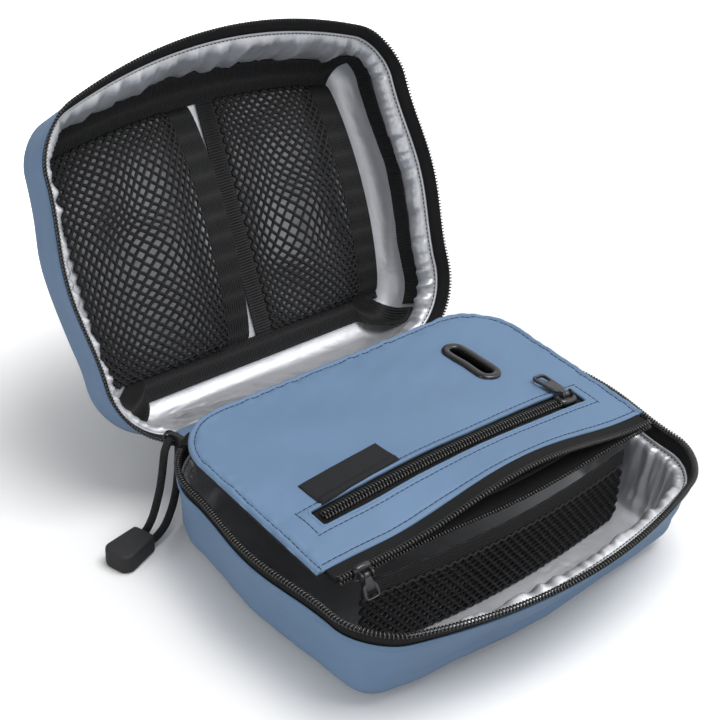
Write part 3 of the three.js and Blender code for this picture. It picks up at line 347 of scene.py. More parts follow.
# Base shell: a padded tub of coated blue-grey cloth with a flat floor and rounded edges. Its walls
# lean out to a folded hem, which the zip's tape is sewn into.
HALF_WIDTH = 0.100
DEPTH = 0.150
FRONT_BOW = 0.023
FLOOR_BOW = 0.0115
SIDE_BOW = 0.0045
FRONT_CORNER = 0.020
BACK_CORNER = 0.036
BACK_Y = (DEPTH + FRONT_BOW) / 2
MIDDLE_Y = BACK_Y - DEPTH / 2
BASE_HEIGHT = 0.050
BASE_LEAN = 0.0055
BASE_FILLET = 0.017
BASE_WALL = 0.0032
RIM_SAG = 0.0034
HEM_Z = 0.0399
HEM_OVER = 0.0010
HEM_FOLD = (0.0008, 0.0011, 0.0009)
HEM_GROOVE = (-0.00048, 0.0030, 0.0007)
HEM_STILL = 0.012
HEM_INSIDE = 0.0030
HEM_ROWS = 22
HEM_BAND = 0.0055
BASE_HEM_GAP = 0.0005
BASE_SWAY = ((0.0005, 0.060), (0.0002, 0.018))
INNER_WALL_SHARE = 0.9
CLEAR = 0.0003
RING_STEPS = (14, 22, 34, 16, 40)
FLOOR_SHARES = (0.05, 0.35, 0.7)


def ramp(distance, width):
    """Share from nothing to one that a distance is of a width."""
    return np.clip(distance / width, 0, 1)


def ridge(distance, height, at, width):
    """Bell curve along a line at a distance: a ridge, or a groove where its height is negative."""
    return height * np.exp(-((distance - at) / width) ** 2)


def arch(x, half):
    """One in the middle, falling with the square of x to nothing at a half width."""
    return np.clip(1 - (x / half) ** 2, 0, 1)


def rim_walk(steps, start=None):
    """Stations round the case from the middle of its back: leg, share of the leg, and side. Without
    start the walk is a closed ring; with it, it runs from that share of one back corner round the
    front to the other."""
    legs = range(5) if start is None else range(1, 5)
    leg = np.concatenate([np.full(steps[k], k) for k in legs])
    lows = [start if start is not None and k == 1 else 0 for k in legs]
    share = np.concatenate([np.linspace(low, 1, steps[k], endpoint=False) for k, low in zip(legs, lows)])
    first = 1 if start is None else 0
    return (
        np.r_[leg, 4, leg[first:][::-1]],
        np.r_[share, 1, share[first:][::-1]],
        np.r_[-np.ones(len(leg) + 1), np.ones(len(leg) - first)],
    )


def front_swing(x, y):
    """How much of the front's bow a place has: all in the middle of the front, none from the middle back."""
    return arch(x, HALF_WIDTH) * ramp(MIDDLE_Y - y, DEPTH / 2) ** 2


def rim_place(walk, levels):
    """Points of the outline at each level, in rows. A level is how far in it lies, how much of that
    is the wall's lean, which the flat back lacks, the front's bow, the rim's sag and the height."""
    leg, share, side = walk
    inset, lean, bow, sag, z = (levels[:, k, None] + 0 * share for k in range(5))
    width = HALF_WIDTH - inset
    rear = BACK_Y - inset + lean
    front = BACK_Y - DEPTH + inset
    rear_round = np.maximum(BACK_CORNER - inset, CLEAR)
    front_round = np.maximum(FRONT_CORNER - inset, CLEAR)
    angle = share * np.pi / 2
    on = [leg + 0 * inset == k for k in range(4)]
    x = np.select(on, [
        share * (width - rear_round),
        width - rear_round * (1 - np.sin(angle)),
        width + SIDE_BOW * np.sin(np.pi * share) ** 2,
        width - front_round * (1 - np.cos(angle)),
    ], (1 - share) * (width - front_round))
    y = np.select(on, [
        rear,
        rear - rear_round * (1 - np.cos(angle)),
        (rear - rear_round) * (1 - share) + (front + front_round) * share,
        front + front_round * (1 - np.sin(angle)),
    ], front)
    swing = front_swing(x, y)
    return rows_of(side * x, y - bow * swing, z - sag * RIM_SAG * swing)


def base_levels(z, inward):
    """Levels of the base's leaning wall at heights z, set inwards."""
    z = np.asarray(z, float)
    share = (z - BASE_FILLET) / (BASE_HEIGHT - BASE_FILLET)
    lean = BASE_LEAN * (1 - share)
    return rows_of(lean + inward, lean, FLOOR_BOW + (FRONT_BOW - FLOOR_BOW) * share, share, z)


def base_edge_levels(angle, inward, floor):
    """Levels of the base's rounded edge, by angle from the wall down to the floor."""
    inset = BASE_LEAN + BASE_FILLET - (BASE_FILLET - inward) * np.cos(angle)
    z = BASE_FILLET - (BASE_FILLET - floor) * np.sin(angle)
    return rows_of(inset, BASE_LEAN, FLOOR_BOW, 0, z)


def to_middle(ring, shares):
    """Rows that shrink a ring towards its middle, by the given shares of its size."""
    middle = ring.mean(axis=0)
    return middle + np.asarray(shares)[:, None, None] * (ring - middle)


def ripple(points, wave, seed):
    """Smooth uneven field from about -1 to 1: a sum of plane waves in set random directions."""
    draw = np.random.default_rng(seed)
    heading = unit(draw.normal(size=(7, 3))) * draw.uniform(0.6, 1.5, size=(7, 1)) * 2 * np.pi / wave
    phase = draw.uniform(0, 2 * np.pi, size=7)
    return np.sin(points @ heading.T + phase).sum(axis=-1) / np.sqrt(7)


def uneven(points, waves, seed):
    """Sum of ripples, each with its height and its wave length."""
    return sum(height * ripple(points, length, seed + k) for k, (height, length) in enumerate(waves))


def facing(points, middle):
    """Directions square to a grid of points that closes round, from its neighbours along rows and
    columns, turned away from a middle."""
    along = np.roll(points, -1, axis=1) - np.roll(points, 1, axis=1)
    square = unit(np.cross(np.gradient(points, axis=0), along))
    return square * np.sign((square * (points - middle)).sum(axis=-1, keepdims=True))


def stand_off(points, lift, loose, sway):
    """Cloth moved outwards by the lift of each row, and by the sway as far as a row is loose."""
    outward = facing(points, BASE_HEIGHT * UP)
    return points + outward * (lift[:, None] + loose[:, None] * sway)[..., None]


def hem_relief(below):
    """How far the cloth stands out at a distance below the hem's edge: its fold, less the sewn groove."""
    return ridge(below, *HEM_FOLD) + ridge(below, *HEM_GROOVE)


blue_cloth = new_finish(
    "blue_cloth", (0.138, 0.222, 0.350), mottling=0.16, patch=45.0, grain=1400.0, bump=0.10,
    roughness=(0.50, 0.62), Specular_IOR_Level=0.20, Sheen_Weight=0.05, Sheen_Roughness=0.5,
)
ring = rim_walk(RING_STEPS)
edge_angles = np.linspace(np.pi / 2, 0, 12)
wall_z = np.r_[
    np.linspace(BASE_FILLET, HEM_Z - HEM_BAND - BASE_HEM_GAP, 9)[1:],
    np.linspace(HEM_Z - HEM_BAND, HEM_Z + HEM_OVER, HEM_ROWS),
]
outer = rim_place(ring, np.vstack([base_edge_levels(edge_angles, 0, 0), base_levels(wall_z, 0)]))
outer = stand_off(
    outer,
    np.r_[0 * edge_angles, hem_relief(HEM_Z + HEM_OVER - wall_z)],
    np.r_[np.cos(edge_angles), ramp(HEM_Z - wall_z, HEM_STILL)],
    uneven(outer, BASE_SWAY, 3),
)
inner = rim_place(ring, np.vstack([
    base_levels(np.linspace(HEM_Z - HEM_INSIDE, BASE_FILLET, 12), BASE_WALL * INNER_WALL_SHARE),
    base_edge_levels(edge_angles[::-1], BASE_WALL, BASE_WALL),
]))
base_shell = surface("base_cloth", np.concatenate([
    to_middle(outer[0], FLOOR_SHARES), outer, inner, to_middle(inner[-1], FLOOR_SHARES[::-1]),
]), blue_cloth)
on_body(base_shell, "base", "base_shell")


# Floor board: a plain stiff sheet between the shell and the lining, which keeps the base flat.
# It is hidden in use.
board = new_finish(
    "board", (0.62, 0.60, 0.55), mottling=0.1, patch=80.0, grain=900.0, bump=0.1, roughness=(0.6, 0.7),
)


def refinish(node, material):
    """Gives a CAD node that stays as it is another material."""
    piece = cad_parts[node]
    piece.data.materials.clear()
    piece.data.materials.append(material)
    return piece


refinish("floor_stiffener", board)


# Linings: silver-coated nylon inside the base and the lid, cut larger than the shell and gathered
# into the hem, so that it stands in soft folds along the walls.
LINING = 0.0006
LINING_CLEAR = 0.0005
BASE_LINING_OVER = 0.0004
LID_LINING_OVER = 0.0007
LINING_TOP_IN = 0.0015
LINING_TOP_LEAN = 0.0022
BASE_LINING_FLOOR = 0.0054
LID_DEPTH = 0.0465
LID_LEAN = 0.004
LID_FILLET = 0.014
LID_WALL = 0.002
LID_OPEN = np.radians(115.7)
RIM_BAND = BASE_HEIGHT - HEM_Z
GATHER = 0.0021
GATHER_WAVES = ((0.0210, 0.70), (0.0105, 0.50), (0.0046, 0.22))
GATHER_WANDER = (1.6, 0.05)
GATHER_SLANT = (0.5, 0.03)
GATHER_START = 0.0018
GATHER_FADE = 0.0040
SHORT_GATHERS = 0.0128
LINING_SEAM = 0.0014
PIPING = (0.0006, 0.0005, 0.00035)
SEAM_GROOVE = (-0.00025, LINING_SEAM, 0.00035)
LINING_BELOW = np.r_[np.linspace(0, 0.0028, 15), np.linspace(0.0034, 0.0235, 18)]
LINING_ROUND = np.linspace(0, np.pi / 2, 19)[1:]
LINING_ALL = np.r_[LINING_BELOW, LINING_BELOW[-1] + LID_FILLET * LINING_ROUND][:, None]
LINING_STITCH = (0.0022, 0.0015)
STITCH_WIDTH = 0.0005
STITCH_DIP = 1.6
THREAD_LIFT = 0.0001
PLEATS = 0.0019
PLEATS_AT = (-0.064, 0.029)
PLEATS_COUNT = 7
PLEATS_END = 0.035
PLEATS_GROW = 0.010
PLEATS_REACH = 0.045
BELLY = 0.0034
BELLY_SIDES = 0.0018
BELLY_BLEND = 17
BELLY_UNEVEN = (0.4, 0.035)

silver = new_finish(
    "silver_lining", (0.56, 0.57, 0.60), mottling=0.18, patch=55.0, grain=900.0, bump=0.10,
    roughness=(0.40, 0.52), Metallic=0.62,
)
spot = add_node(silver.node_tree, "TexCoord").outputs["Object"]
crease = add_node(
    silver.node_tree, "TexNoise", Vector=spot, Scale=75.0, Detail=3.0, Roughness=0.5, Distortion=1.2,
)
add_bump(silver, strength=0.40, depth=0.0016, height=crease.outputs["Fac"])
black_thread = new_finish(
    "black_thread", (0.012, 0.012, 0.013), mottling=0.4, patch=400.0, grain=6000.0, bump=0.3,
    roughness=(0.6, 0.75),
)


def lid_levels(height, inward):
    """Levels of the lid's wall as it lies shut, by height above the rim, set inwards."""
    height = np.asarray(height, float)
    share = height / (LID_DEPTH - LID_FILLET)
    lean = LID_LEAN * share
    return rows_of(lean + inward, lean, FRONT_BOW, 1 - share, BASE_HEIGHT + height)


def lid_edge_levels(angle, inward):
    """Levels of the lid's rounded edge, by angle from the wall up to its panel."""
    radius = LID_FILLET - inward
    inset = LID_LEAN + LID_FILLET - radius * np.cos(angle)
    z = BASE_HEIGHT + LID_DEPTH - LID_FILLET + radius * np.sin(angle)
    return rows_of(inset, LID_LEAN, FRONT_BOW, 0, z)


def opened(points):
    """Points of the shut lid, turned open about the hinge line."""
    y = points[..., 1] - BACK_Y
    z = points[..., 2] - HEM_Z
    turned_y = y * np.cos(LID_OPEN) + z * np.sin(LID_OPEN)
    turned_z = z * np.cos(LID_OPEN) - y * np.sin(LID_OPEN)
    return rows_of(points[..., 0], BACK_Y + turned_y, HEM_Z + turned_z)


def lining_inset(inside):
    """How far in the lining's wall lies: its full inset, less near the top, where it leans on the tape."""
    return inside - ridge(LINING_BELOW, inside - LINING_TOP_IN, 0, LINING_TOP_LEAN)


def lining_skin(wall, seed, reach, fullness, belly=0.0, pull=0.0):
    """Closed double skin of a lining: a piping at the hem, a sewn groove, and gathers that hang from it
    as far as reach, with a second layer behind. The gathers are folds with sharp ridges and with sharp
    valleys by turns, in waves along the hem whose places wander; fullness scales them round the case.
    The belly is how far it sags between the seam and its reach, and the pull is added to all that."""
    inward = -facing(wall, wall.mean(axis=(0, 1)))
    below_seam = LINING_ALL - LINING_SEAM
    hang = ramp(below_seam, GATHER_START) * ramp(reach - LINING_ALL, GATHER_FADE)
    steps = np.linalg.norm(np.roll(wall[0], -1, axis=0) - wall[0], axis=1)
    round_hem = (np.cumsum(steps) - steps) / steps.sum()
    folds = 0
    for k, (wave, size) in enumerate(GATHER_WAVES):
        turns = np.pi * round(steps.sum() / wave) * round_hem
        wander = uneven(wall[0], [GATHER_WANDER], seed + k) + uneven(wall, [GATHER_SLANT], seed + 5 + k)
        valley = np.abs(np.sin(turns + wander))
        folds = folds + size * (valley if k % 2 else 1 - valley)
    sag = belly * np.sin(np.pi * ramp(below_seam, reach - LINING_SEAM))
    sewn = ridge(LINING_ALL, *PIPING) + ridge(LINING_ALL, *SEAM_GROOVE)
    front = wall + inward * (GATHER * fullness * hang * folds + sag + pull + sewn)[..., None]
    behind = wall - inward * LINING / 2
    return np.concatenate([
        to_middle(behind[-1], FLOOR_SHARES), behind[::-1], front, to_middle(front[-1], FLOOR_SHARES[::-1]),
    ])


def at_lengths(path, at, *others):
    """The path, and directions along it, at given lengths from its start."""
    walked = walked_along(path)
    kept = [np.broadcast_to(row, path.shape) for row in (path, *others)]
    return [rows_of(*(np.interp(at, walked, row[:, k]) for k in range(3))) for row in kept]


def stitches(name, path, size, material, body, square=UP):
    """Row of stitches along a path, of a pitch and a length: short rounded rods that dip at both ends,
    lying on a surface whose square direction is given."""
    pitch, length = size
    line, up = at_lengths(path, np.arange(0, walked_along(path)[-1], pitch), square)
    heading = unit(np.gradient(line, axis=0))
    side = unit(np.cross(up, heading))
    rise = np.cross(heading, side)
    reach = np.array([-0.5, -0.4, 0, 0.4, 0.5])[:, None]
    girth = np.array([0.4, 0.85, 1, 0.85, 0.4])[:, None] * STITCH_WIDTH / 2
    angle = np.linspace(0, 2 * np.pi, 6, endpoint=False)
    dip = STITCH_DIP * STITCH_WIDTH / 2 * reach ** 2
    rod = rows_of(reach * length, girth * np.cos(angle), girth * np.sin(angle) - dip)
    ways = np.stack([heading, side, rise], axis=1)
    points = line[:, None, None] + rod @ ways[:, None]
    index = np.arange(points.size // 3).reshape(len(line), 5, 6)
    after = np.roll(index, -1, axis=2)
    quads = rows_of(index[:, :-1], after[:, :-1], after[:, 1:], index[:, 1:]).reshape(-1, 4)
    faces = quads.tolist() + index[:, 0, ::-1].tolist() + index[:, -1].tolist()
    flat_uv = np.zeros((quads.size + 12 * len(line), 2))
    on_body(make_piece(name, points.reshape(-1, 3), faces, flat_uv, material), body)


def lining(body, skin):
    """Lining of the base or the lid, with a row of black stitches in the groove below its piping."""
    layers_meet = len(FLOOR_SHARES) + len(LINING_ALL)
    seam_row = int(np.abs(LINING_BELOW - LINING_SEAM).argmin())
    groove = skin[layers_meet + seam_row]
    square = unit(groove - skin[layers_meet - 1 - seam_row])
    piece = surface(body + "_lining_cloth", skin, silver)
    seam = groove + THREAD_LIFT * square
    stitches(body + "_lining_stitches", seam, LINING_STITCH, black_thread, body, square)
    return on_body(piece, body, body + "_lining")


lining_walk = rim_walk(tuple(3 * n for n in RING_STEPS))
walk_leg, walk_share, walk_side = lining_walk
at_hinge = np.where(walk_leg == 0, 1.0, np.where(walk_leg == 1, np.clip(1 - 2 * walk_share, 0, 1), 0.0))
base_inside = BASE_WALL + LINING_CLEAR + LINING
base_lining_wall = rim_place(lining_walk, np.vstack([
    base_levels(HEM_Z + BASE_LINING_OVER - LINING_BELOW, lining_inset(base_inside)),
    base_edge_levels(LINING_ROUND, base_inside, BASE_LINING_FLOOR + LINING),
]))
deep_gathers = LINING_BELOW[-1] + LID_FILLET
base_lining = lining("base", lining_skin(base_lining_wall, 11, deep_gathers, 1 - at_hinge))

lid_inside = LID_WALL + LINING_CLEAR + LINING
lid_lining_wall = rim_place(lining_walk, np.vstack([
    lid_levels(RIM_BAND - LID_LINING_OVER + LINING_BELOW, lining_inset(lid_inside)),
    lid_edge_levels(LINING_ROUND, lid_inside),
]))
beside_bands = (walk_leg == 1) | (((walk_leg == 2) | (walk_leg == 3)) & (walk_side > 0))
lid_gathers = np.where(beside_bands, SHORT_GATHERS, deep_gathers - LID_FILLET / 2)


def pleats(x, below):
    """Folds that fan out from the sewn corner left of the hinge: a wave in the angle about it, which
    grows from nothing there and fades with distance."""
    right = x - PLEATS_AT[0]
    down = below - PLEATS_AT[1]
    away = np.hypot(right, down)
    grown = ramp(away, PLEATS_GROW) * ridge(away, 1, 0, PLEATS_REACH) * ramp(right, PLEATS_GROW)
    edges = ramp(PLEATS_END - below, GATHER_FADE) * ramp(below - LINING_SEAM, GATHER_FADE)
    return PLEATS * grown * edges * (1 - np.abs(np.sin(PLEATS_COUNT * np.arctan2(down, right))))


lid_pull = pleats(lid_lining_wall[..., 0], LINING_ALL) * (lid_lining_wall[..., 1] > MIDDLE_Y)
sags = np.where(walk_leg == 4, BELLY, BELLY_SIDES) * (1 - at_hinge)
sags = np.pad(sags, BELLY_BLEND // 2, mode="wrap")
sags = np.convolve(sags, np.full(BELLY_BLEND, 1 / BELLY_BLEND), "valid")
sags = sags * (1 + uneven(lid_lining_wall[0], [BELLY_UNEVEN], 31))
lid_lining = lining("lid", opened(
    lining_skin(lid_lining_wall, 17, lid_gathers, 1 - at_hinge / 2, sags, lid_pull),
))


# Lid shell: the base's match in the same cloth, shallower, with a bowed front and a rounded edge
# round its panel. It is drawn shut and turned open about the hinge line.
LID_PANEL_SHARES = (0.9, 0.78, 0.65, 0.5, 0.35, 0.2, 0.06)
LID_SWAY = ((0.0004, 0.070), (0.0002, 0.018))
LID_SWAY_SEED = 23
LID_INNER_SHARE = 0.85
LID_HEM_GAP = 0.0015

lid_heights = np.r_[
    np.linspace(RIM_BAND - HEM_OVER, RIM_BAND + HEM_BAND, HEM_ROWS),
    np.linspace(RIM_BAND + HEM_BAND + LID_HEM_GAP, LID_DEPTH - LID_FILLET, 7),
]
lid_round = edge_angles[::-1][1:]
lid_outer = rim_place(ring, np.vstack([lid_levels(lid_heights, 0), lid_edge_levels(lid_round, 0)]))
lid_panel = to_middle(lid_outer[-1], LID_PANEL_SHARES)
lid_panel[..., 2] += uneven(lid_panel, LID_SWAY, LID_SWAY_SEED)
lid_outer = stand_off(
    lid_outer,
    np.r_[hem_relief(lid_heights - RIM_BAND + HEM_OVER), 0 * lid_round],
    np.r_[ramp(lid_heights - RIM_BAND, HEM_STILL), 1 + 0 * lid_round],
    uneven(lid_outer, LID_SWAY, LID_SWAY_SEED),
)
lid_inner = rim_place(ring, np.vstack([
    lid_edge_levels(edge_angles[:-1], LID_WALL),
    lid_levels(np.linspace(LID_DEPTH - LID_FILLET, RIM_BAND + HEM_INSIDE, 12), LID_WALL * LID_INNER_SHARE),
]))
lid_shell = surface("lid_cloth", opened(np.concatenate([
    to_middle(lid_inner[0], FLOOR_SHARES), lid_inner, lid_outer, lid_panel,
])), blue_cloth)
on_body(lid_shell, "lid", "lid_shell")


# Zip of the case: a black woven tape sewn into each hem, with a nylon coil along its edge. The coil
# is one wire wound flat, at a pitch between those of the two common coil sizes.
RIM_CLEAR = 0.0015
BASE_COIL = (0.0034, 0.0024)
LID_COIL = (0.0017, 0.0032)
BASE_COIL_IN = -0.0012
LID_COIL_IN = -0.0018
BASE_COIL_SEAT = 0.75
LID_COIL_SEAT = 0.25
COIL_PITCH = 0.00160
COIL_WIRE = 0.00080
COIL_STEPS = 10
COIL_SEAT = 0.34
COIL_SIDES = 5
TAPE = 0.0008
TAPE_TUCKED = 0.0013
BASE_TAPE_IN = -0.0004
LID_TAPE_IN = -0.0012
TAPE_TUCK = 0.004
ZIP_END_SHARE = 0.24
ZIP_STEPS = (14, 40, 90, 36, 110)

tape_finish = new_finish(
    "zip_tape", (0.011, 0.011, 0.012), mottling=0.4, patch=150.0, grain=3000.0, bump=0.3,
    roughness=(0.75, 0.9), threads=(0.0011, 0.0006, 0.0, 0.00016), Specular_IOR_Level=0.25,
)
coil_finish = new_finish(
    "zip_coil", (0.026, 0.026, 0.025), mottling=0.3, patch=200.0, grain=3000.0, bump=0.1,
    roughness=(0.20, 0.30), Specular_IOR_Level=0.7,
)


def coil(name, path, across, normal, size, phase=0.0, seat=None):
    """Wound wire: a point that goes round a flat oval as it moves along the path, once each pitch,
    with a round section about it. It moves on evenly, or only where it lies on the tape, at a seat given
    as a share of a turn, so that its teeth stand square to the path."""
    turns = np.arange(0, walked_along(path)[-1] / COIL_PITCH, 1 / COIL_STEPS)
    moved = turns
    if seat is not None:
        whole = np.floor(turns - seat + 0.5)
        part = turns - seat + 0.5 - whole
        moved = whole + np.clip((part - 0.5) / COIL_SEAT + 0.5, 0, 1)
    line, side, up, ahead = at_lengths(path, COIL_PITCH * moved, across, normal, np.gradient(path, axis=0))
    angle = (2 * np.pi * turns + phase)[:, None]
    half_width, half_height = ((width - COIL_WIRE) / 2 for width in size)
    wire = line + unit(side) * half_width * np.cos(angle) + unit(up) * half_height * np.sin(angle)
    heading = unit(np.gradient(wire, axis=0))
    along = unit(ahead)
    first = unit(along - heading * (along * heading).sum(axis=-1, keepdims=True))
    section = round_profile(COIL_WIRE, COIL_WIRE, COIL_SIDES)
    return sweep(name, wire, first, np.cross(heading, first), section, coil_finish)


def strip_levels(levels, heights, insets, thickness):
    """Four levels of a strip's section, low edge first and then its high edge, each with its own inset."""
    low, high = heights
    low_in, high_in = insets
    inward = np.array([low_in, low_in + thickness, high_in + thickness, high_in])
    return levels([low, low, high, high], inward)


def rim_zip(body, tape_levels, coil_levels, coil_size, seat, turn):
    """Tape and coil of one hem: the tape's section is four levels of the outline, and the coil winds
    about the middle of its own four."""
    run = rim_walk(ZIP_STEPS, ZIP_END_SHARE)
    corners = turn(rim_place(run, coil_levels)).transpose(1, 0, 2)
    inward = unit(corners[:, 1] - corners[:, 0])
    rise = unit(corners[:, 3] - corners[:, 0])
    teeth = coil(body + "_zip_teeth", corners.mean(axis=1), inward, rise, coil_size, seat=seat)
    on_body(teeth, body, body + "_zip_coil")
    tape = surface(body + "_zip_band", turn(rim_place(run, tape_levels)).transpose(1, 0, 2), tape_finish)
    on_body(tape, body, body + "_zip_tape")


base_coil_z = BASE_HEIGHT - RIM_CLEAR - np.array([BASE_COIL[1], 0])
lid_coil_z = RIM_CLEAR + np.array([0, LID_COIL[1]])
rim_zip(
    "base",
    strip_levels(base_levels, (HEM_Z - TAPE_TUCK, base_coil_z.mean()), (TAPE_TUCKED, BASE_TAPE_IN), TAPE),
    strip_levels(base_levels, base_coil_z, (BASE_COIL_IN, BASE_COIL_IN), BASE_COIL[0]),
    BASE_COIL, BASE_COIL_SEAT, lambda points: points,
)
rim_zip(
    "lid",
    strip_levels(lid_levels, (lid_coil_z.mean(), RIM_BAND + TAPE_TUCK), (LID_TAPE_IN, TAPE_TUCKED), TAPE),
    strip_levels(lid_levels, lid_coil_z, (LID_COIL_IN, LID_COIL_IN), LID_COIL[0]),
    LID_COIL, LID_COIL_SEAT, opened,
)


# Hinge: the strip between the ends of the zip, where the back walls of base and lid are one length of
# cloth. It is blue outside and lined with silver inside, and folds at the base's hem.
HINGE_RADIUS = 0.0016
HINGE_DOWN = 0.0044
HINGE_RUN = 0.0205
HINGE_CLOTH = 0.0010
HINGE_SHARE = 0.21
HINGE_OUTSIDE = -0.0006
HINGE_INSIDE = 0.0005
HINGE_WALK_STEPS = (20, 16, 1, 1, 1)
STRIP_SIDES = 20
STRIP_SQUARE = 5.0


def band(name, first, second, thickness, material):
    """Flat strip between two edge lines: a rounded flat profile, spread from one edge to the other and
    set off square to both."""
    across = second - first
    normal = unit(np.cross(np.gradient(first + second, axis=0), across))
    section = round_profile(1, thickness, STRIP_SIDES, STRIP_SQUARE)
    return sweep(name, (first + second) / 2, across, normal, section, material)


def hinge_layer(name, offset, finish):
    """One layer of the hinge: a section that climbs the back wall, turns over the fold's small circle
    and runs out to the lid's hem, carried round the back of the case."""
    fold = np.linspace(0, LID_OPEN, 9)
    climb = rows_of(0, np.linspace(-HINGE_DOWN, 0, 5)[:-1])
    turn_over = HINGE_RADIUS * rows_of(1 - np.cos(fold), np.sin(fold))
    heading = np.array([np.sin(LID_OPEN), np.cos(LID_OPEN)])
    runs_out = turn_over[-1] + np.linspace(0, HINGE_RUN, 12)[1:, None] * heading
    line = np.concatenate([climb, turn_over, runs_out])
    square = unit(np.gradient(line, axis=0)) @ np.array([[0, -1], [1, 0]])
    outer_line = line + (offset + HINGE_CLOTH / 2) * square
    inner_line = line + (offset - HINGE_CLOTH / 2) * square
    loop_line = np.concatenate([outer_line, inner_line[::-1]])
    walk = rim_walk(HINGE_WALK_STEPS)
    chosen = (walk[0] == 0) | ((walk[0] == 1) & (walk[1] <= HINGE_SHARE))
    outline = rim_place(walk, np.array([[0, 0, 0, 0, HEM_Z]]))[0][chosen]
    outline = outline[np.argsort(outline[:, 0])]
    flat_out = unit(np.gradient(outline, axis=0)) @ np.array([[0, 1, 0], [-1, 0, 0], [0, 0, 1]])
    piece = sweep(name, outline, flat_out, UP, loop_line, finish)
    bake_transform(piece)
    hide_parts("hinge_panel")


hinge_layer("hinge_cloth", HINGE_OUTSIDE, blue_cloth)
hinge_layer("hinge_lining", HINGE_INSIDE, silver)


# Bands in the lid: black ribbed tape sewn round the edge of the panel, along its front, its hinge side
# and its right side, and one straight webbing between the two pockets.
BAND = 0.001
BAND_WIDTH = 0.008
PANEL_EDGE = LID_LEAN + LID_FILLET
LID_PANEL_Z = BASE_HEIGHT + LID_DEPTH - lid_inside
BAND_Z = LID_PANEL_Z - CLEAR - BAND / 2
TOP_BAND = np.radians(np.linspace(35, 90, 12))
TOP_BAND_OVER = np.array([0.001, 0.002])
BOTTOM_BAND = (PANEL_EDGE - 0.001, PANEL_EDGE + 0.011)
SIDE_BAND = (0.021, 0.031)
SIDE_BAND_FROM = 0.60
SIDE_BAND_WAVE = (0.0006, 0.022)
SIDE_BAND_HIGH_WAVE = 0.6
BAND_CORNER = 0.55
PATCH_FROM = 0.0225
PATCH_ROUND = np.radians(np.linspace(12, 90, 7))
TOP_PATCH = 0.4
BOTTOM_PATCH = 0.35
WEBBING_X = (0.003, 0.013)

webbing = new_finish(
    "webbing", (0.013, 0.013, 0.014), mottling=0.4, patch=120.0, grain=2500.0, bump=0.3,
    roughness=(0.65, 0.8), threads=(0.0014, 0.02, 0.0, 0.0005), Specular_IOR_Level=0.35,
)


def slab(name, lower, upper, material, keep=None):
    """Sheet between two grids of points, without the cells that keep leaves out, and with a wall along
    every open edge. The UV map holds the lengths along columns and rows, in metres."""
    rows, columns = lower.shape[:2]
    keep = np.ones((rows - 1, columns - 1), bool) if keep is None else keep
    index = np.arange(rows * columns).reshape(rows, columns)
    layer = rows * columns
    a, b = np.nonzero(keep)
    corners = rows_of(index[a, b], index[a, b + 1], index[a + 1, b + 1], index[a + 1, b])
    framed = np.pad(keep, 1)
    beside = rows_of(framed[a, b + 1], framed[a + 1, b + 2], framed[a + 2, b + 1], framed[a + 1, b])
    cell, side = np.nonzero(~beside)
    start = corners[cell, side]
    end = corners[cell, (side + 1) % 4]
    walls = rows_of(start, end, end + layer, start + layer)
    faces = np.concatenate([corners + layer, corners[:, ::-1], walls])
    uv = rows_of(*np.meshgrid(running_length(lower, 1), running_length(lower, 0)))
    uv = np.tile(uv.reshape(-1, 2), (2, 1))
    used, compact = np.unique(faces, return_inverse=True)
    points = np.concatenate([lower.reshape(-1, 3), upper.reshape(-1, 3)])
    return make_piece(name, points[used], compact.reshape(-1, 4).tolist(), uv[faces.ravel()], material)


def walk_of(*parts):
    """Stations round the case from parts, each with its leg, shares of that leg and side."""
    columns = zip(*(np.broadcast_arrays(*part) for part in parts))
    return tuple(np.concatenate(column) for column in columns)


def panel_levels(insets, inward):
    """Levels of the lid's panel at insets from the rim's outline, set off the lining."""
    return rows_of(insets, LID_LEAN, FRONT_BOW, 0, LID_PANEL_Z - inward)


def top_levels(inward):
    """Fourteen levels over the rounded edge and a little onto the panel."""
    onto_panel = panel_levels(PANEL_EDGE + TOP_BAND_OVER, inward)
    return np.vstack([lid_edge_levels(TOP_BAND, lid_inside + inward), onto_panel])


def bottom_levels(inward):
    """Fourteen levels along the panel's hinge side."""
    return panel_levels(np.linspace(*BOTTOM_BAND, 14), inward)


def patch_levels(inward, onto_panel):
    """Fourteen levels from the wall over the rounded edge and onto the panel."""
    inward = lid_inside + inward
    heights = np.linspace(PATCH_FROM, LID_DEPTH - LID_FILLET, 5)
    return np.vstack([lid_levels(heights, inward), lid_edge_levels(PATCH_ROUND, inward), onto_panel])


def edge_band(node, walk, patch, levels):
    """Band along an edge of the panel, which widens onto the wall as far as its patch says."""
    faces = []
    for inward in (CLEAR, CLEAR + BAND):
        straight = levels(inward)
        widened = patch_levels(inward, straight[-2:])
        faces.append(opened((1 - patch) * rim_place(walk, straight) + patch * rim_place(walk, widened)))
    on_body(slab(node + "_tape", *faces, webbing), "lid", node)


front_corner = np.linspace(BAND_CORNER, 1, 13)[:-1]
front_half = np.linspace(0, 1, 41)
front_walk = walk_of(
    (3, front_corner, -1), (4, front_half, -1), (4, front_half[-2::-1], 1), (3, front_corner[::-1], 1),
)
at_right = (front_walk[0] == 3) & (front_walk[2] > 0)
top_patch = np.where(at_right, ramp(1 - front_walk[1], TOP_PATCH), 0)[:, None]
edge_band("top_band", front_walk, top_patch, top_levels)

back_corner = BAND_CORNER * np.linspace(1, 0, 13)[:-1]
back_run = np.linspace(-1, 1, 61)
back_walk = walk_of((1, back_corner, -1), (0, np.abs(back_run), np.sign(back_run)), (1, back_corner[::-1], 1))
bottom_patch = np.where(back_walk[0] == 1, ramp(back_walk[1], BOTTOM_PATCH), 0)[:, None]
edge_band("bottom_band", back_walk, bottom_patch, bottom_levels)

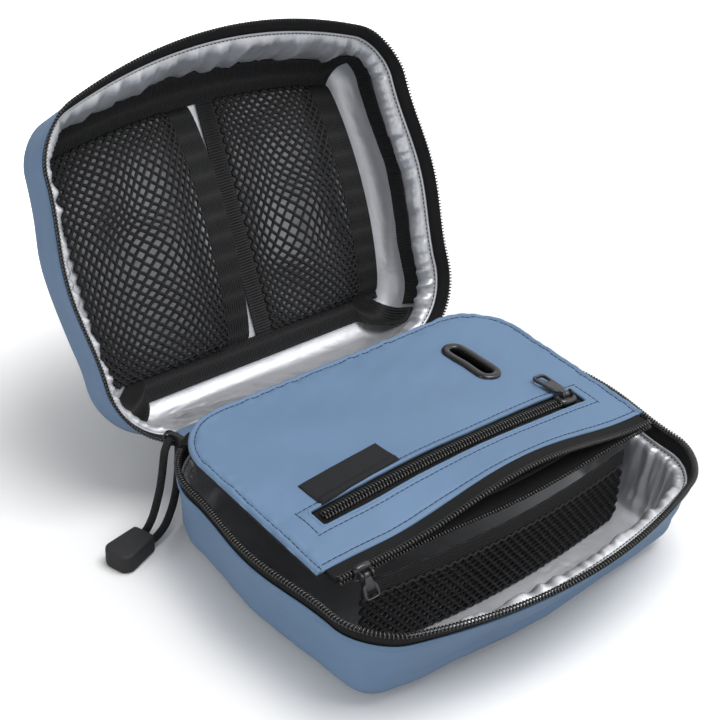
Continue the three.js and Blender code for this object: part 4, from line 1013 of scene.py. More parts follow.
side_walk = walk_of(
    (1, np.linspace(SIDE_BAND_FROM, 1, 9)[:-1], 1),
    (2, np.linspace(0, 1, 61), 1),
    (3, np.linspace(0, BAND_CORNER, 9)[1:], 1),
)
side_low, side_high = rim_place(side_walk, lid_levels(SIDE_BAND, lid_inside + CLEAR + BAND / 2))
side_wave = uneven(side_low, [SIDE_BAND_WAVE], 27)[:, None] * UP
side_edges = (opened(side_low + side_wave), opened(side_high + SIDE_BAND_HIGH_WAVE * side_wave))
on_body(band("right_webbing_tape", *side_edges, BAND, webbing), "lid", "right_webbing")


# Net pockets: black knitted net, sewn to the lid's panel on three sides and gathered to a ribbed elastic
# on the free right edge. A third net stands across the front of the base as a divider.
POCKET_CLEAR = 0.002
POCKET_FRONT = BACK_Y - DEPTH + PANEL_EDGE + POCKET_CLEAR
POCKET_BACK = BACK_Y - BOTTOM_BAND[1] + LID_LEAN
POCKET_Z = LID_PANEL_Z - CLEAR
POCKET_REACH = HALF_WIDTH - PANEL_EDGE - POCKET_CLEAR
POCKET_LIFT = 0.011
POCKET_FULLNESS = 0.6
ELASTIC_WIDTH = 0.013
ELASTIC_FROM = -0.035
LEFT_POCKET_TO = -0.0155
RIGHT_POCKET_FROM = 0.015
NET_CELL = (0.0044, 0.0027)
NET_POINT = 0.86
NET_STRAND = 0.0021
NET_EDGE = 0.0018
NET_PACKED = 0.03
NET_WANDER = (0.0022, 0.05)
NET_SLACK = (0.0014, 0.035)
BASE_NET_HALF = 0.076
BASE_NET_SET_BACK = 0.030
BASE_NET_HEIGHT = 0.030
BASE_NET_BOW = 0.006
BASE_NET_Z = 0.0064

net_finish = new_finish(
    "net", (0.010, 0.010, 0.011), mottling=0.4, patch=200.0, grain=5000.0, bump=0.3, roughness=(0.55, 0.75),
    Specular_IOR_Level=0.35,
)
elastic = new_finish(
    "elastic", (0.018, 0.018, 0.019), mottling=0.4, patch=120.0, grain=2500.0, bump=0.3,
    roughness=(0.75, 0.9), threads=(0.02, 0.0013, 0.0, 0.0005), Specular_IOR_Level=0.3,
)


def net(name, width, height, bend):
    """Knitted net: long six-sided meshes in staggered rows over a flat sheet, bent onto their place by a
    formula of the two shares, and turned into strands along every edge."""
    columns = max(2, round(width / NET_CELL[0]))
    rows = max(2, round(height / NET_CELL[1]))
    column, row = np.meshgrid(np.arange(columns), np.arange(rows), indexing="xy")
    middle_x = (column + 0.5 * (row % 2)).ravel()
    middle_y = row.ravel()
    corner_x = np.array([0, 0.5, 0.5, 0, -0.5, -0.5])
    corner_y = np.array([-NET_POINT, NET_POINT - 1, 1 - NET_POINT, NET_POINT, 1 - NET_POINT, NET_POINT - 1])
    across = ramp(middle_x[:, None] + corner_x + 0.5, columns + 0.5)
    up = ramp(middle_y[:, None] + corner_y + NET_POINT, rows - 1 + 2 * NET_POINT)
    key = np.round(rows_of(across, up).reshape(-1, 2), 5)
    shares, index = np.unique(key, axis=0, return_inverse=True)
    faces = index.reshape(-1, 6)
    points = bend(shares[:, 0], shares[:, 1])
    piece = make_piece(name, points, faces.tolist(), np.zeros((faces.size, 2)), net_finish)
    strand = piece.modifiers.new("strand", "WIREFRAME")
    strand.thickness = NET_STRAND
    strand.use_boundary = True
    strand.use_even_offset = False
    return piece


def pocket_front(x):
    """Front edge of the lid's pockets: a line that follows the bow of the case."""
    return POCKET_FRONT - FRONT_BOW * front_swing(x, POCKET_FRONT)


def pocket_swell(across, up):
    """How far a pocket stands off the panel: nothing on its sewn sides, most at its free edge."""
    return POCKET_LIFT * np.sin(np.pi / 2 * across) * np.sin(np.pi * np.clip(up, 0, 1)) ** POCKET_FULLNESS


def lid_pocket(start, end):
    """Bend of a net onto the lid between two places across it."""
    def bend(across, up):
        free = np.sin(np.pi * across) * np.sin(np.pi * up)
        across = across - NET_PACKED * np.sin(2 * np.pi * across)
        up = up - NET_PACKED * np.sin(2 * np.pi * up)
        x = start + (end - start) * across
        y = POCKET_BACK + (pocket_front(x) - POCKET_BACK) * up
        at = rows_of(x, y, 0)
        z = POCKET_Z - NET_STRAND / 2 - pocket_swell(across, up) - free * uneven(at, [NET_SLACK], 31)
        moved_x = x + free * uneven(at, [NET_WANDER], 32)
        moved_y = y + free * uneven(at, [NET_WANDER], 33)
        return opened(rows_of(moved_x, moved_y, z))
    return bend


def pocket_elastic(name, start):
    """Elastic along a pocket's free edge, over the same swell."""
    up = np.linspace(ELASTIC_FROM, 1, 63)
    edges = []
    for x in (start + CLEAR, start + CLEAR + ELASTIC_WIDTH):
        y = POCKET_BACK + (pocket_front(x) - POCKET_BACK) * up
        edges.append(opened(rows_of(x, y, POCKET_Z - pocket_swell(1, up) - BAND / 2)))
    return band(name, *edges, BAND, elastic)


for side, start, end in (
    ("left", -POCKET_REACH - NET_EDGE, LEFT_POCKET_TO),
    ("right", RIGHT_POCKET_FROM - NET_EDGE, POCKET_REACH - ELASTIC_WIDTH),
):
    pocket_height = POCKET_BACK - float(pocket_front((start + end) / 2))
    pocket = net(side + "_pocket_net", end - start, pocket_height, lid_pocket(start, end))
    on_body(pocket, "lid", side + "_mesh_pocket")
    on_body(pocket_elastic(side + "_pocket_edge", end), "lid", side + "_pocket_elastic")

webbing_y = np.linspace(POCKET_BACK, pocket_front(np.mean(WEBBING_X)), 41)
webbing_edges = [opened(rows_of(x, webbing_y, BAND_Z)) for x in WEBBING_X]
on_body(band("middle_webbing_tape", *webbing_edges, BAND, webbing), "lid", "middle_webbing")


def base_net_bend(across, up):
    """Bend of the net across the base: a shallow bow towards the front."""
    x = BASE_NET_HALF * (2 * across - 1)
    y = BACK_Y - DEPTH + BASE_NET_SET_BACK - BASE_NET_BOW * np.sin(np.pi * across) - NET_STRAND / 2
    return rows_of(x, y, BASE_NET_Z + up * BASE_NET_HEIGHT)


base_net = net("base_pocket_net", 2 * BASE_NET_HALF, BASE_NET_HEIGHT, base_net_bend)
on_body(base_net, "base", "base_mesh_pocket")
net_run = np.linspace(0, 1, 81)
elastic_edges = [base_net_bend(net_run, 1 + (CLEAR + over) / BASE_NET_HEIGHT) for over in (0, BAND_WIDTH)]
on_body(band("base_pocket_edge", *elastic_edges, BAND, elastic), "base", "base_pocket_elastic")


# Pouch: two sheets of cloth sewn together round the sides and the back, which lie over the base. The top
# is the blue cloth, with a rolled edge outside a row of navy thread; the bottom is plain black lining.
POUCH_HALF = 0.094
POUCH_Y = 0.081
POUCH_DEPTH = 0.109
POUCH_CORNER = 0.029
POUCH_BACK_RISE = 0.008
POUCH_FRONT_RISE = 0.003
POUCH_CLOTH = 0.0012
POUCH_EDGE_ROUND = 0.0011
POUCH_STITCH = (0.0028, 0.0026)
POUCH_FINE_ROWS = (0.0070, 0.0078)
POUCH_FINE_COLUMNS = 0.915
SEAM = 0.0004
WELT_FROM_BACK = 0.0855
WELT_CROWN = 0.006
LIP_RISE = 0.009
LIP_DROP = 0.004
LIP_STEEP = 1.5
MOUTH = (-0.060, 0.090)
EDGE_SEAM = 0.0028
SEAM_FROM_LIP = 0.002
WELT_HALF = 0.0725
WELT_WINDOW = 0.0105
WINDOW_ROUND = 0.0016
WINDOW_HALF = (WELT_HALF + 0.0032, WELT_WINDOW / 2)
SLOT_X = 0.052
SLOT_FROM_BACK = 0.0385
SLOT_LENGTH = 0.027
SLOT_WIDTH = 0.005
EYELET_WALL = 0.0012
WELT_STITCH = 0.0026
LIP_SEAM = 0.0028
BOX_HALF = (WELT_HALF + WELT_WINDOW / 2 + WELT_STITCH, WELT_WINDOW / 2 + WELT_STITCH)
ROLLED_EDGE = (0.0006, 0.0014, 0.0009)
EDGE_GROOVE = (-0.0005, EDGE_SEAM, 0.0006)
PUCKER = (0.0003, 0.008)
PUCKER_REACH = 0.004
POUCH_WAVES = ((0.00035, 0.045), (0.00012, 0.014))
POUCH_WAVES_FROM = 0.008
BOX_GROOVE = (-0.0003, 0, 0.0008)
BOX_RIDGE = (0.0002, -0.0016, 0.0009)
LIP_GROOVE = (-0.0004, POUCH_DEPTH - LIP_SEAM, 0.0007)

pouch_lining = new_finish(
    "pouch_lining", (0.016, 0.016, 0.018), mottling=0.3, patch=80.0, grain=1500.0, bump=0.2,
    roughness=(0.6, 0.75), Specular_IOR_Level=0.35,
)
thread = new_finish(
    "navy_thread", (0.012, 0.018, 0.040), mottling=0.4, patch=400.0, grain=6000.0, bump=0.3,
    roughness=(0.6, 0.75),
)


def pouch_plane(back):
    """Height of the pouch's seam at a distance from its back edge."""
    return BASE_HEIGHT + POUCH_BACK_RISE + (POUCH_FRONT_RISE - POUCH_BACK_RISE) * back / POUCH_DEPTH


def pouch_gape(x):
    """How far the mouth stands open along its length: a smooth hump between the two ends."""
    return np.sin(np.pi * ramp(x - MOUTH[0], MOUTH[1] - MOUTH[0])) ** 2


def pouch_top(x, back):
    """Underside of the pouch's top: crowned up to the zip in it, then going over to the lip's hump."""
    crown = WELT_CROWN * np.minimum(back / WELT_FROM_BACK, 1) * arch(x, POUCH_HALF)
    to_lip = ramp(back - WELT_FROM_BACK, POUCH_DEPTH - WELT_FROM_BACK) ** LIP_STEEP
    return pouch_plane(back) + SEAM / 2 + crown * (1 - to_lip) + LIP_RISE * pouch_gape(x) * to_lip


def pouch_bottom(x, back):
    """Upper side of the pouch's bottom: it hangs a little, most at the mouth."""
    share = back / POUCH_DEPTH
    slack = LIP_DROP * share * (arch(x, POUCH_HALF) * (1 - share) + pouch_gape(x) * share)
    return pouch_plane(back) - SEAM / 2 - slack


def edge_distance(x, back):
    """Distance from the pouch's sewn edge: its sides, its back and the two round corners between."""
    over_x = np.abs(x) - (POUCH_HALF - POUCH_CORNER)
    over_y = POUCH_CORNER - back
    straight = np.minimum(POUCH_HALF - np.abs(x), back)
    return np.where((over_x > 0) & (over_y > 0), POUCH_CORNER - np.hypot(over_x, over_y), straight)


pouch_rows = np.r_[
    np.linspace(0, POUCH_FINE_ROWS[0], 15),
    np.linspace(POUCH_FINE_ROWS[1], POUCH_CORNER, 16),
    np.linspace(POUCH_CORNER, POUCH_DEPTH, 90)[1:],
]
fine_edge = np.linspace(POUCH_FINE_COLUMNS, 1, 17)
pouch_middle = np.linspace(-POUCH_FINE_COLUMNS, POUCH_FINE_COLUMNS, 150)[1:-1]
pouch_columns = np.r_[-fine_edge[::-1], pouch_middle, fine_edge]


def pouch_grid(height):
    """Grid over the pouch's outline at a height that is a function of place."""
    back = pouch_rows[:, None] + 0 * pouch_columns
    rest = np.maximum(POUCH_CORNER - back, 0)
    x = pouch_columns * (POUCH_HALF - POUCH_CORNER + np.sqrt(POUCH_CORNER ** 2 - rest ** 2))
    return rows_of(x, POUCH_Y - back, height(x, back))


def top_relief(x, back):
    """Upper side of the pouch's top: the cloth's thickness, closed to nothing at the sewn edge, a rolled
    edge, the groove that the thread draws, its puckers and slow waves all over."""
    edge = edge_distance(x, back)
    at = rows_of(x, back, 0)
    body = POUCH_CLOTH * np.sqrt(1 - (1 - ramp(edge, POUCH_EDGE_ROUND)) ** 2)
    rolled = ridge(edge, *ROLLED_EDGE) + ridge(edge, *EDGE_GROOVE)
    pucker = uneven(at, [PUCKER], 41) * ridge(edge, 1, EDGE_SEAM, PUCKER_REACH)
    waves = uneven(at, POUCH_WAVES, 42) * ramp(edge, POUCH_WAVES_FROM)
    box = np.maximum(np.abs(x) - BOX_HALF[0], np.abs(back - WELT_FROM_BACK) - BOX_HALF[1])
    drawn = ridge(box, *BOX_GROOVE) + ridge(box, *BOX_RIDGE) + ridge(back, *LIP_GROOVE)
    return pouch_top(x, back) + body + rolled + pucker + waves + drawn


def on_pouch(x, y, lift):
    """Points on the upper side of the pouch's top, lifted off it."""
    return rows_of(x, y, top_relief(x, POUCH_Y - y) + lift)


def box_distance(x, y, half):
    """Distance outside a rectangle with rounded corners."""
    over_x = np.abs(x) - half[0] + WINDOW_ROUND
    over_y = np.abs(y) - half[1] + WINDOW_ROUND
    inside = np.minimum(np.maximum(over_x, over_y), 0)
    return np.hypot(np.maximum(over_x, 0), np.maximum(over_y, 0)) + inside - WINDOW_ROUND


def oval_distance(x, y, half_straight, radius):
    """Distance outside an oval with round ends, along x."""
    return np.hypot(np.maximum(np.abs(x) - half_straight, 0), y) - radius


top_lower = pouch_grid(pouch_top)
cells = (top_lower[1:, 1:] + top_lower[:-1, :-1] + top_lower[1:, :-1] + top_lower[:-1, 1:]) / 4
cells_x, cells_y = cells[..., 0], cells[..., 1]
welt_y = POUCH_Y - WELT_FROM_BACK
slot_y = POUCH_Y - SLOT_FROM_BACK
slot_half = (SLOT_LENGTH - SLOT_WIDTH) / 2
window_gap = box_distance(cells_x, cells_y - welt_y, WINDOW_HALF)
slot_gap = oval_distance(cells_y - slot_y, cells_x - SLOT_X, slot_half, SLOT_WIDTH / 2 + EYELET_WALL + CLEAR)
kept_cells = (window_gap > 0) & (slot_gap > 0)
pouch_top_cloth = slab("pouch_top_cloth", top_lower, pouch_grid(top_relief), blue_cloth, kept_cells)
on_body(pouch_top_cloth, "pouch", "pouch_top_panel")

bottom_upper = pouch_grid(pouch_bottom)[::2, ::2]
pouch_bottom_cloth = slab("pouch_bottom_cloth", bottom_upper - POUCH_CLOTH * UP, bottom_upper, pouch_lining)
on_body(pouch_bottom_cloth, "pouch", "pouch_bottom_panel")

seam_half = POUCH_HALF - EDGE_SEAM
seam_turn = np.linspace(0, np.pi / 2, 24)
seam_round = POUCH_CORNER - EDGE_SEAM
seam_left = np.linspace(POUCH_Y - POUCH_DEPTH + SEAM_FROM_LIP, POUCH_Y - POUCH_CORNER, 60)[:-1]
seam_x = np.r_[-seam_half + 0 * seam_left, -(POUCH_HALF - POUCH_CORNER) - seam_round * np.cos(seam_turn)]
seam_y = np.r_[seam_left, POUCH_Y - POUCH_CORNER + seam_round * np.sin(seam_turn)]
seam_x = np.r_[seam_x, np.linspace(seam_x[-1], -seam_x[-1], 60)[1:-1], -seam_x[::-1]]
seam_y = np.r_[seam_y, np.full(58, seam_y[-1]), seam_y[::-1]]
lip_seam_x = np.linspace(-seam_half, seam_half, 120)
lip_seam_y = POUCH_Y - POUCH_DEPTH + LIP_SEAM
for name, x, y in (("edge", seam_x, seam_y), ("lip", lip_seam_x, lip_seam_y)):
    seam_line = on_pouch(x, y, THREAD_LIFT)
    stitches(f"pouch_{name}_stitches", seam_line, POUCH_STITCH, thread, "pouch")


# Strip that carries the pouch: black cloth sewn inside the base's back wall and to the pouch's back edge.
# It bends as the pouch lifts on the real object, and here it stays with the base.
STRIP_HALF = HALF_WIDTH - BACK_CORNER - POCKET_CLEAR
STRIP_CLOTH = 0.001
strip_x = np.linspace(-STRIP_HALF, STRIP_HALF, 41)
strip_y = BACK_Y - base_inside - CLEAR - STRIP_CLOTH / 2
strip_top = pouch_bottom(STRIP_HALF, 0) - POUCH_CLOTH - CLEAR
strip_edges = [rows_of(strip_x, strip_y, z) for z in (HEM_Z - BAND_WIDTH, strip_top)]
pouch_strip = band("pouch_strip", *strip_edges, STRIP_CLOTH, pouch_lining)
on_body(pouch_strip, "base", "pouch_hinge_strip")


# Zip in the pouch's top: a closed coil zip behind a long window. The window's edge is rolled under, and
# a rectangle of navy thread holds the tape.
WELT_TAPE_END = 0.0015
WELT_COIL = (0.003284, 0.002)
WELT_COIL_APART = 0.00135
SLOPE_CLEAR = 0.0002
WELT_ROLL = (0.0016, 0.0019)
WELT_ROLL_OUT = 0.00056
WELT_ROLL_DOWN = 0.00054
WELT_ROLL_SQUARE = 2.4
BOX_STITCH = (0.0027, 0.0025)

welt_reach = WELT_HALF + WELT_WINDOW / 2 + WELT_TAPE_END
welt_run = np.linspace(-welt_reach, welt_reach, 121)
welt_low = -CLEAR - TAPE - SLOPE_CLEAR
tape_half = WELT_WINDOW / 2 + WELT_TAPE_END


def along_welt(x, aside, lift):
    """Line along the zip in the pouch's top, set aside from its middle and lifted."""
    return rows_of(x, welt_y + aside, pouch_top(x, WELT_FROM_BACK) + lift)


welt_edges = [along_welt(welt_run, side * tape_half, welt_low + TAPE / 2) for side in (-1, 1)]
on_body(band("welt_zip_band", *welt_edges, TAPE, tape_finish), "pouch", "welt_tape")
coil_run = np.linspace(-WELT_HALF, WELT_HALF, 200)
coil_middle = welt_low + TAPE + CLEAR + WELT_COIL[1] / 2
for name, side, phase in (("front", -1, 0), ("back", 1, np.pi)):
    teeth_line = along_welt(coil_run, side * WELT_COIL_APART, coil_middle)
    teeth = coil("welt_zip_teeth_" + name, teeth_line, (0, side, 0), UP, WELT_COIL, phase)
    on_body(teeth, "pouch", "welt_coil")


def box_line(half_x, half_y, radius, count):
    """Closed rectangle with rounded corners, as points round it."""
    turn = np.linspace(0, np.pi / 2, count)
    corner = rows_of(half_x - radius + radius * np.cos(turn), half_y - radius + radius * np.sin(turn))
    side = np.linspace(half_x - radius, radius - half_x, 10 * count)[1:-1]
    upper = np.concatenate([corner, rows_of(side, half_y), (corner * [-1, 1])[::-1]])
    return np.concatenate([upper, -upper])


def loop_frame(line):
    """Directions of a closed line: out of the loop in the plane of x and y, and up."""
    heading = unit(np.roll(line, -1, axis=0) - np.roll(line, 1, axis=0))
    return unit(np.cross(heading, UP)), UP


roll_half_x, roll_half_y = (half + WELT_ROLL_OUT for half in WINDOW_HALF)
window_x, window_y = box_line(roll_half_x, roll_half_y, WINDOW_ROUND + WELT_ROLL_OUT, 8).T
window_line = on_pouch(window_x, welt_y + window_y, -WELT_ROLL_DOWN)
roll_section = round_profile(*WELT_ROLL, 12, WELT_ROLL_SQUARE)
welt_roll = sweep("welt_rolled_edge", window_line, *loop_frame(window_line), roll_section, blue_cloth, True)
on_body(welt_roll, "pouch")

box_turns = np.array([[-1, -1], [1, -1], [1, 1], [-1, 1], [-1, -1]]) * BOX_HALF
for k in range(4):
    box_x, box_y = np.linspace(box_turns[k], box_turns[k + 1], 80).T
    box_side = on_pouch(box_x, welt_y + box_y, THREAD_LIFT)
    stitches(f"welt_stitches_{k}", box_side, BOX_STITCH, thread, "pouch")


# Zip along the pouch's mouth: a tape and a coil on each lip, open from the slider near the left end.
# The upper half follows the hump of the top, and the lower half hangs with the bottom.
LIP_TAPE = 0.005
LIP_TAPE_UNDER = 0.001
LIP_COIL = (0.0034, 0.002)
LIP_REACH = POUCH_HALF - 0.004
lip_y = POUCH_Y - POUCH_DEPTH - CLEAR
lip_coil_y = lip_y - LIP_TAPE - CLEAR - LIP_COIL[0] / 2
lip_tape_ys = (lip_y + LIP_TAPE_UNDER, lip_y - LIP_TAPE - LIP_COIL[0] / 2)
lip_run = np.linspace(-LIP_REACH, LIP_REACH, 200)
for side, lip, sign in (("upper", pouch_top, 1), ("lower", pouch_bottom, -1)):
    height = lip(lip_run, POUCH_DEPTH)
    tape_edges = [rows_of(lip_run, y, height + sign * TAPE / 2) for y in lip_tape_ys]
    lip_tape = band(f"mouth_{side}_band", *tape_edges, TAPE, tape_finish)
    on_body(lip_tape, "pouch", f"mouth_{side}_tape")
    teeth_line = rows_of(lip_run, lip_coil_y, height + sign * LIP_COIL[1] / 2)
    lip_teeth = coil(f"mouth_{side}_teeth", teeth_line, (0, 1, 0), UP, LIP_COIL, seat=0.0)
    on_body(lip_teeth, "pouch", f"mouth_{side}_coil")


# Eyelet of the drop slot: a glossy black plastic ring with a rounded flange, pressed through the cloth.
# Its barrel lines the slot below the flange.
EYELET_FLANGE = 0.004
EYELET_HEIGHT = 0.0014
EYELET_BULGE = 0.7
EYELET_UNDER = -0.0002
EYELET_FOOT = -0.0020

eyelet_plastic = new_finish(
    "eyelet_plastic", (0.012, 0.012, 0.013), mottling=0.2, patch=150.0, grain=1500.0, bump=0.05,
    roughness=(0.18, 0.28), Specular_IOR_Level=0.55,
)


def oval_line(half_straight, radius, count):
    """Closed oval with round ends, along x, as points round it."""
    turn = np.linspace(-np.pi / 2, np.pi / 2, count)
    right = rows_of(half_straight + radius * np.cos(turn), radius * np.sin(turn))
    lower_side = rows_of(np.linspace(-half_straight, half_straight, 3 * count)[1:-1], -radius)
    return np.concatenate([right, -lower_side, -right, lower_side])


ring_half = EYELET_FLANGE / 2
slot_along, slot_across = oval_line(slot_half, SLOT_WIDTH / 2 + ring_half, 22).T
ring_line = on_pouch(SLOT_X - slot_across, slot_y + slot_along, CLEAR)
ring_turn = np.linspace(0, np.pi, 12)
barrel_in = EYELET_WALL - ring_half
ring_section = np.concatenate([
    rows_of(ring_half * np.cos(ring_turn), EYELET_HEIGHT * np.sin(ring_turn) ** EYELET_BULGE),
    [[-ring_half, EYELET_FOOT], [barrel_in, EYELET_FOOT]],
    [[barrel_in, EYELET_UNDER], [ring_half, EYELET_UNDER]],
])
eyelet = sweep("eyelet_ring", ring_line, *loop_frame(ring_line), ring_section, eyelet_plastic, True)
on_body(eyelet, "pouch", "slot_eyelet")


# Label: a bare piece of woven charcoal cloth, sewn down along the window's upper edge. Its front edge is
# folded over, and a groove runs behind the fold.
LABEL_X = -0.048
LABEL_LENGTH = 0.0435
LABEL_WIDTH = 0.0155
LABEL_TURN = np.radians(3)
LABEL_CLOTH = 0.0006
LABEL_CLEAR = 0.0002
LABEL_FROM_WELT = 0.0136
LABEL_EDGE_ROUND = 0.0008
LABEL_EDGE_LEAST = 0.05
LABEL_FOLD = 0.0030
LABEL_FOLD_HEIGHT = 0.0008
LABEL_FOLD_STEEP = 0.00012
LABEL_FOLD_ROUND = 0.0006
LABEL_GROOVE = (-0.0005, 0.0005, 0.0004)

label_finish = new_finish(
    "label", (0.016, 0.017, 0.019), mottling=0.3, patch=100.0, grain=3000.0, bump=0.3, roughness=(0.65, 0.8),
    threads=(0.0007, 0.0005, 0.0, 0.00012), Specular_IOR_Level=0.3,
)
label_u, label_v = np.meshgrid(
    np.linspace(-0.5, 0.5, 48) * LABEL_LENGTH, np.linspace(-0.5, 0.5, 64) * LABEL_WIDTH,
)
label_x = LABEL_X + label_u * np.cos(LABEL_TURN) - label_v * np.sin(LABEL_TURN)
label_y = welt_y + LABEL_FROM_WELT + label_u * np.sin(LABEL_TURN) + label_v * np.cos(LABEL_TURN)
label_low = on_pouch(label_x, label_y, LABEL_CLEAR)
label_edge = np.minimum(LABEL_WIDTH / 2 - np.abs(label_v), LABEL_LENGTH / 2 - np.abs(label_u))
label_thin = 1 - np.maximum(ramp(label_edge, LABEL_EDGE_ROUND), LABEL_EDGE_LEAST)
from_fold = label_v + LABEL_WIDTH / 2 - LABEL_FOLD
label_fold = LABEL_FOLD_HEIGHT / (1 + np.exp(from_fold / LABEL_FOLD_STEEP))
label_fold = label_fold * ramp(label_edge, LABEL_FOLD_ROUND)
label_body = LABEL_CLOTH * np.sqrt(1 - label_thin ** 2) + label_fold + ridge(from_fold, *LABEL_GROOVE)
label = slab("label_cloth", label_low, label_low + label_body[..., None] * UP, label_finish)
on_body(label, "pouch", "woven_label")


# Sliders and pulls: die-cast metal, glossy black on the sliders and gunmetal on the pulls. A slider is a
# domed block with two ears that hold a pin, and the barrel at the pull's near end turns on that pin.
SLIDER_BODY = (0.0104, 0.0080, 0.0044)
LIP_SLIDER_BODY = (0.0090, 0.0074, 0.0040)
SLIDER_SINK = 0.0014
SLIDER_SQUARE = 2.8
SLIDER_END = 0.985
SLIDER_FULLNESS = (0.8, 0.45)
EAR = (0.0015, 0.0036, 0.0034)
EAR_AT = 0.0027
EAR_SQUARE = 3.0
EAR_END = 0.995
EAR_CLOSING = 5
PIN = 0.0014
PIN_HEIGHT = 0.0015
WELT_SLIDER_AT = np.array([0.0670, -0.0045, 0.05993])
WELT_SLOPE = np.radians(5.2)
WELT_PULL_DIP = np.radians(2)
LIP_SLIDER_AT = np.array([-0.0780, -0.0373, 0.0530])
LIP_PULL_DIP = np.radians(240)
PULL_LENGTH = 0.0190
LIP_PULL_LENGTH = 0.0100
PULL_NEAR = 0.0012
PULL_BARREL = 0.0026
PULL_NECK = 0.0015
PULL_NECK_END = (0.0022, 0.0046)
PULL_PLATE = 0.0016
PULL_SQUARE = 5.0
PULL_EDGE_SQUARE = 4.0
PULL_HALF_WIDTHS = (0.0026, 0.0042)
PULL_HOLE = (0.66, 0.93)
PULL_HOLE_EDGE = 0.0014
MAIN_SLIDER_ROUND = 0.0005
MAIN_SLIDER_WELD = 0.00001

gunmetal = new_finish(
    "gunmetal", (0.085, 0.085, 0.092), mottling=0.5, patch=300.0, grain=1800.0, bump=0.35,
    roughness=(0.34, 0.48), Metallic=0.9,
)
black_metal = new_finish(
    "black_metal", (0.012, 0.012, 0.013), mottling=0.25, patch=300.0, grain=2500.0, bump=0.05,
    roughness=(0.16, 0.26), Specular_IOR_Level=0.6,
)


def rod(name, at, axes, half, diameter, sides, material):
    """Round rod along the first axis, to a half length on both sides of a place."""
    line = at + np.linspace([-half, 0, 0], [half, 0, 0], 3) @ axes
    return sweep(name, line, axes[1], axes[2], round_profile(diameter, diameter, sides), material)


def slider(node, at, axes, size):
    """Domed block, two ears and pin of a slider, whose axes are along the coil, across it and out of it.
    An ear is one flat section that rises and closes over at its top. Gives the middle of the pin."""
    run = np.linspace(-np.pi / 2, np.pi / 2, 19)[:, None]
    along = np.sign(run) * np.abs(np.sin(run)) ** SLIDER_FULLNESS[0] * size[0] / 2
    grow = np.cos(run * SLIDER_END) ** SLIDER_FULLNESS[1]
    section = round_profile(size[1], size[2], 28, SLIDER_SQUARE)
    dome = rows_of(along, grow * section[:, 0], grow * section[:, 1] - SLIDER_SINK)
    rise = np.linspace(0, EAR_END, 14)[:, None]
    closing = np.sqrt(1 - rise ** EAR_CLOSING)
    flat = round_profile(EAR[0], EAR[1], 24, EAR_SQUARE)
    ear = rows_of(closing * flat[:, 0], closing * flat[:, 1], EAR[2] * rise)
    aside = np.array([EAR_AT, 0, 0])
    for name, points in (("dome", dome), ("ear_left", ear - aside), ("ear_right", ear + aside)):
        on_body(surface(f"{node}_{name}", at + points @ axes, black_metal), node, node)
    pin_at = at + PIN_HEIGHT * axes[2]
    on_body(rod(node + "_pin", pin_at, axes, EAR_AT, PIN, 14, black_metal), node, node)
    return pin_at


def pull(node, at, axes, length):
    """Flat tapered plate with a neck and a barrel at its near end and a tapered hole near its far end: a
    rounded section between two closed outlines, whose axes are across the plate, along it and out of it."""
    angle = np.linspace(0, 2 * np.pi, 72, endpoint=False)
    wave = rows_of(np.cos(angle), np.sin(angle))
    squared = np.sign(wave) * np.abs(wave) ** (2 / PULL_SQUARE)
    outlines = []
    for low, high, thin in (
        (-PULL_NEAR, length, 0.0), (PULL_HOLE[0] * length, PULL_HOLE[1] * length, PULL_HOLE_EDGE),
    ):
        run = (low + high) / 2 + (high - low) / 2 * squared[:, 0]
        share = (run + PULL_NEAR) / (length + PULL_NEAR)
        half = PULL_HALF_WIDTHS[0] + (PULL_HALF_WIDTHS[1] - PULL_HALF_WIDTHS[0]) * share - thin
        widens = ramp(run - PULL_NECK_END[0], PULL_NECK_END[1] - PULL_NECK_END[0])
        half = PULL_NECK + (half - PULL_NECK) * widens ** 2 * (3 - 2 * widens)
        outlines.append(rows_of(half * squared[:, 1], run, 0))
    outer, hole = (at + outline @ axes for outline in outlines)
    section = round_profile(1, PULL_PLATE, 14, PULL_EDGE_SQUARE)
    plate = sweep(node + "_plate", (outer + hole) / 2, outer - hole, axes[2], section, gunmetal, True)
    on_body(plate, node, node)
    barrel = rod(node + "_plate_barrel", at, axes, PULL_NECK, PULL_BARREL, 20, gunmetal)
    on_body(barrel, node, node)


def turned_about_x(angle, axes):
    """Axes turned about the first of them."""
    cosine, sine = np.cos(angle), np.sin(angle)
    return np.array([[1, 0, 0], [0, cosine, sine], [0, -sine, cosine]]) @ axes


welt_axes = np.array([
    [np.cos(WELT_SLOPE), 0, -np.sin(WELT_SLOPE)], [0, 1, 0], [np.sin(WELT_SLOPE), 0, np.cos(WELT_SLOPE)],
])
welt_pin = slider("welt_slider", WELT_SLIDER_AT, welt_axes, SLIDER_BODY)
pull("welt_pull", welt_pin, turned_about_x(-WELT_PULL_DIP, welt_axes), PULL_LENGTH)
lip_axes = turned_about_x(np.pi / 2, np.eye(3))
lip_pin = slider("mouth_slider", LIP_SLIDER_AT, lip_axes, LIP_SLIDER_BODY)
pull("mouth_pull", lip_pin, turned_about_x(LIP_PULL_DIP, np.eye(3)), LIP_PULL_LENGTH)

main_slider = refinish("main_slider", black_metal)
weld = main_slider.modifiers.new("weld", "WELD")
weld.merge_threshold = MAIN_SLIDER_WELD
rounded = main_slider.modifiers.new("rounded", "BEVEL")
rounded.width = MAIN_SLIDER_ROUND
rounded.segments = 3
rounded.limit_method = "ANGLE"


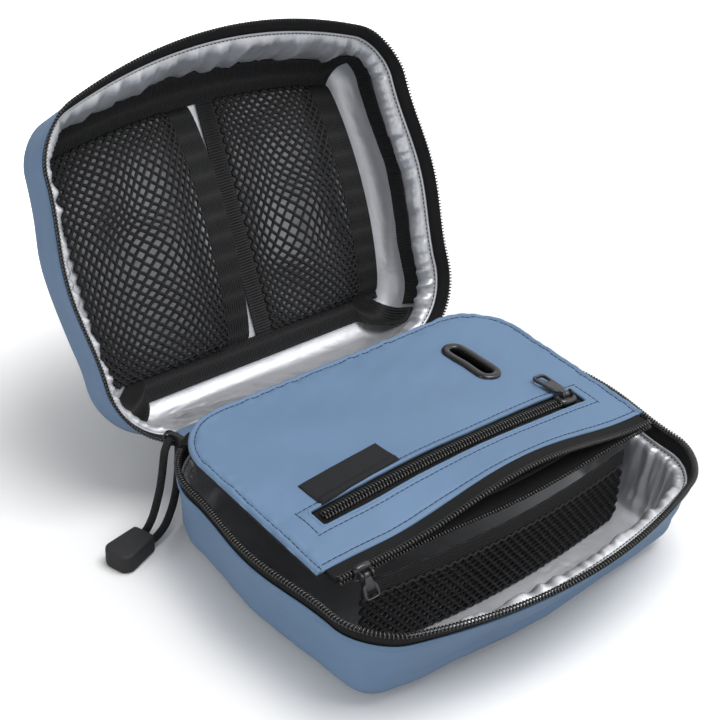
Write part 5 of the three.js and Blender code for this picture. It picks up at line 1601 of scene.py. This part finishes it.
# Stage: a plain pale floor, a white surround and soft studio light from above, in front and the left.
# The surround is brighter to the right in reflections, and the floor goes over to white further out.
FLOOR_SIZE = 4.0
FLOOR_NEAR = 0.16
FLOOR_FAR = 0.48
FLOOR_SHADES = (0.60, 0.95)
FLOOR_ROUGHNESS = 0.9
WHITE = (1, 1, 1, 1)
SKY_LIGHT = 0.34
SKY_GLOSS = (0.12, 1.0)
SKY_GLOSS_TURN = 0.7
LAMPS = (
    ("key", (0.25, -0.25, 1.40), (0, 0.05, 0.05), 0.9, 16.3),
    ("front", (-0.75, -0.95, 0.45), (0, 0.08, 0.10), 0.9, 3.2),
    ("left", (-1.2, 0.10, 0.35), (0, 0.08, 0.06), 0.6, 3.0),
    ("fill", (0.9, -0.6, 0.9), (0, 0.05, 0.05), 1.0, 3.0),
)

floor_corners = FLOOR_SIZE * np.array([[-1, -1, 0], [1, -1, 0], [1, 1, 0], [-1, 1, 0]])
floor_mesh = bpy.data.meshes.new("floor")
floor_mesh.from_pydata(floor_corners.tolist(), [], [(0, 1, 2, 3)])
floor = bpy.data.objects.new("floor", floor_mesh)
bpy.context.collection.objects.link(floor)
floor_finish = bpy.data.materials.new("floor")
floor_finish.use_nodes = True
floor_tree = floor_finish.node_tree
floor_shader = floor_tree.nodes["Principled BSDF"]
floor_seen = add_node(floor_tree, "LightPath").outputs["Is Camera Ray"]
floor_spot = add_node(floor_tree, "TexCoord").outputs["Object"]
floor_away = add_node(floor_tree, "VectorMath", [floor_spot], {"operation": "LENGTH"}).outputs["Value"]
floor_far = add_node(
    floor_tree, "MapRange", settings={"interpolation_type": "SMOOTHSTEP"},
    Value=floor_away, From_Min=FLOOR_NEAR, From_Max=FLOOR_FAR,
)
floor_white = math_node(floor_tree, "MULTIPLY", floor_far.outputs[0], floor_seen)
floor_tree.links.new(floor_white, floor_shader.inputs["Emission Strength"])
floor_shader.inputs["Emission Color"].default_value = WHITE
shade_low, shade_high = FLOOR_SHADES
floor_shade = add_node(floor_tree, "MapRange", Value=floor_seen, To_Min=shade_low, To_Max=shade_high)
floor_tree.links.new(floor_shade.outputs[0], floor_shader.inputs["Base Color"])
floor_shader.inputs["Roughness"].default_value = FLOOR_ROUGHNESS
floor_mesh.materials.append(floor_finish)

for name, at, aim, size, power in LAMPS:
    lamp = bpy.data.objects.new(name, bpy.data.lights.new(name, "AREA"))
    lamp.data.size = size
    lamp.data.energy = power
    lamp.location = at
    lamp.rotation_euler = (Vector(at) - Vector(aim)).to_track_quat("Z", "Y").to_euler()
    bpy.context.collection.objects.link(lamp)

world = bpy.data.worlds.new("studio")
world.use_nodes = True
bpy.context.scene.world = world
sky_tree = world.node_tree
sky = sky_tree.nodes["Background"]
ray = add_node(sky_tree, "LightPath").outputs
sky_heading = add_node(sky_tree, "SeparateXYZ", [add_node(sky_tree, "TexCoord").outputs["Generated"]])
gloss = add_node(
    sky_tree, "MapRange", Value=sky_heading.outputs["X"], From_Min=-SKY_GLOSS_TURN, From_Max=SKY_GLOSS_TURN,
    To_Min=SKY_GLOSS[0], To_Max=SKY_GLOSS[1],
)
lit = add_node(sky_tree, "MapRange", Value=ray["Is Glossy Ray"], To_Min=SKY_LIGHT, To_Max=gloss.outputs[0])
strength = math_node(sky_tree, "MAXIMUM", lit.outputs[0], ray["Is Camera Ray"])
sky_tree.links.new(strength, sky.inputs["Strength"])
sky.inputs["Color"].default_value = WHITE
bpy.context.scene.view_settings.view_transform = "Standard"
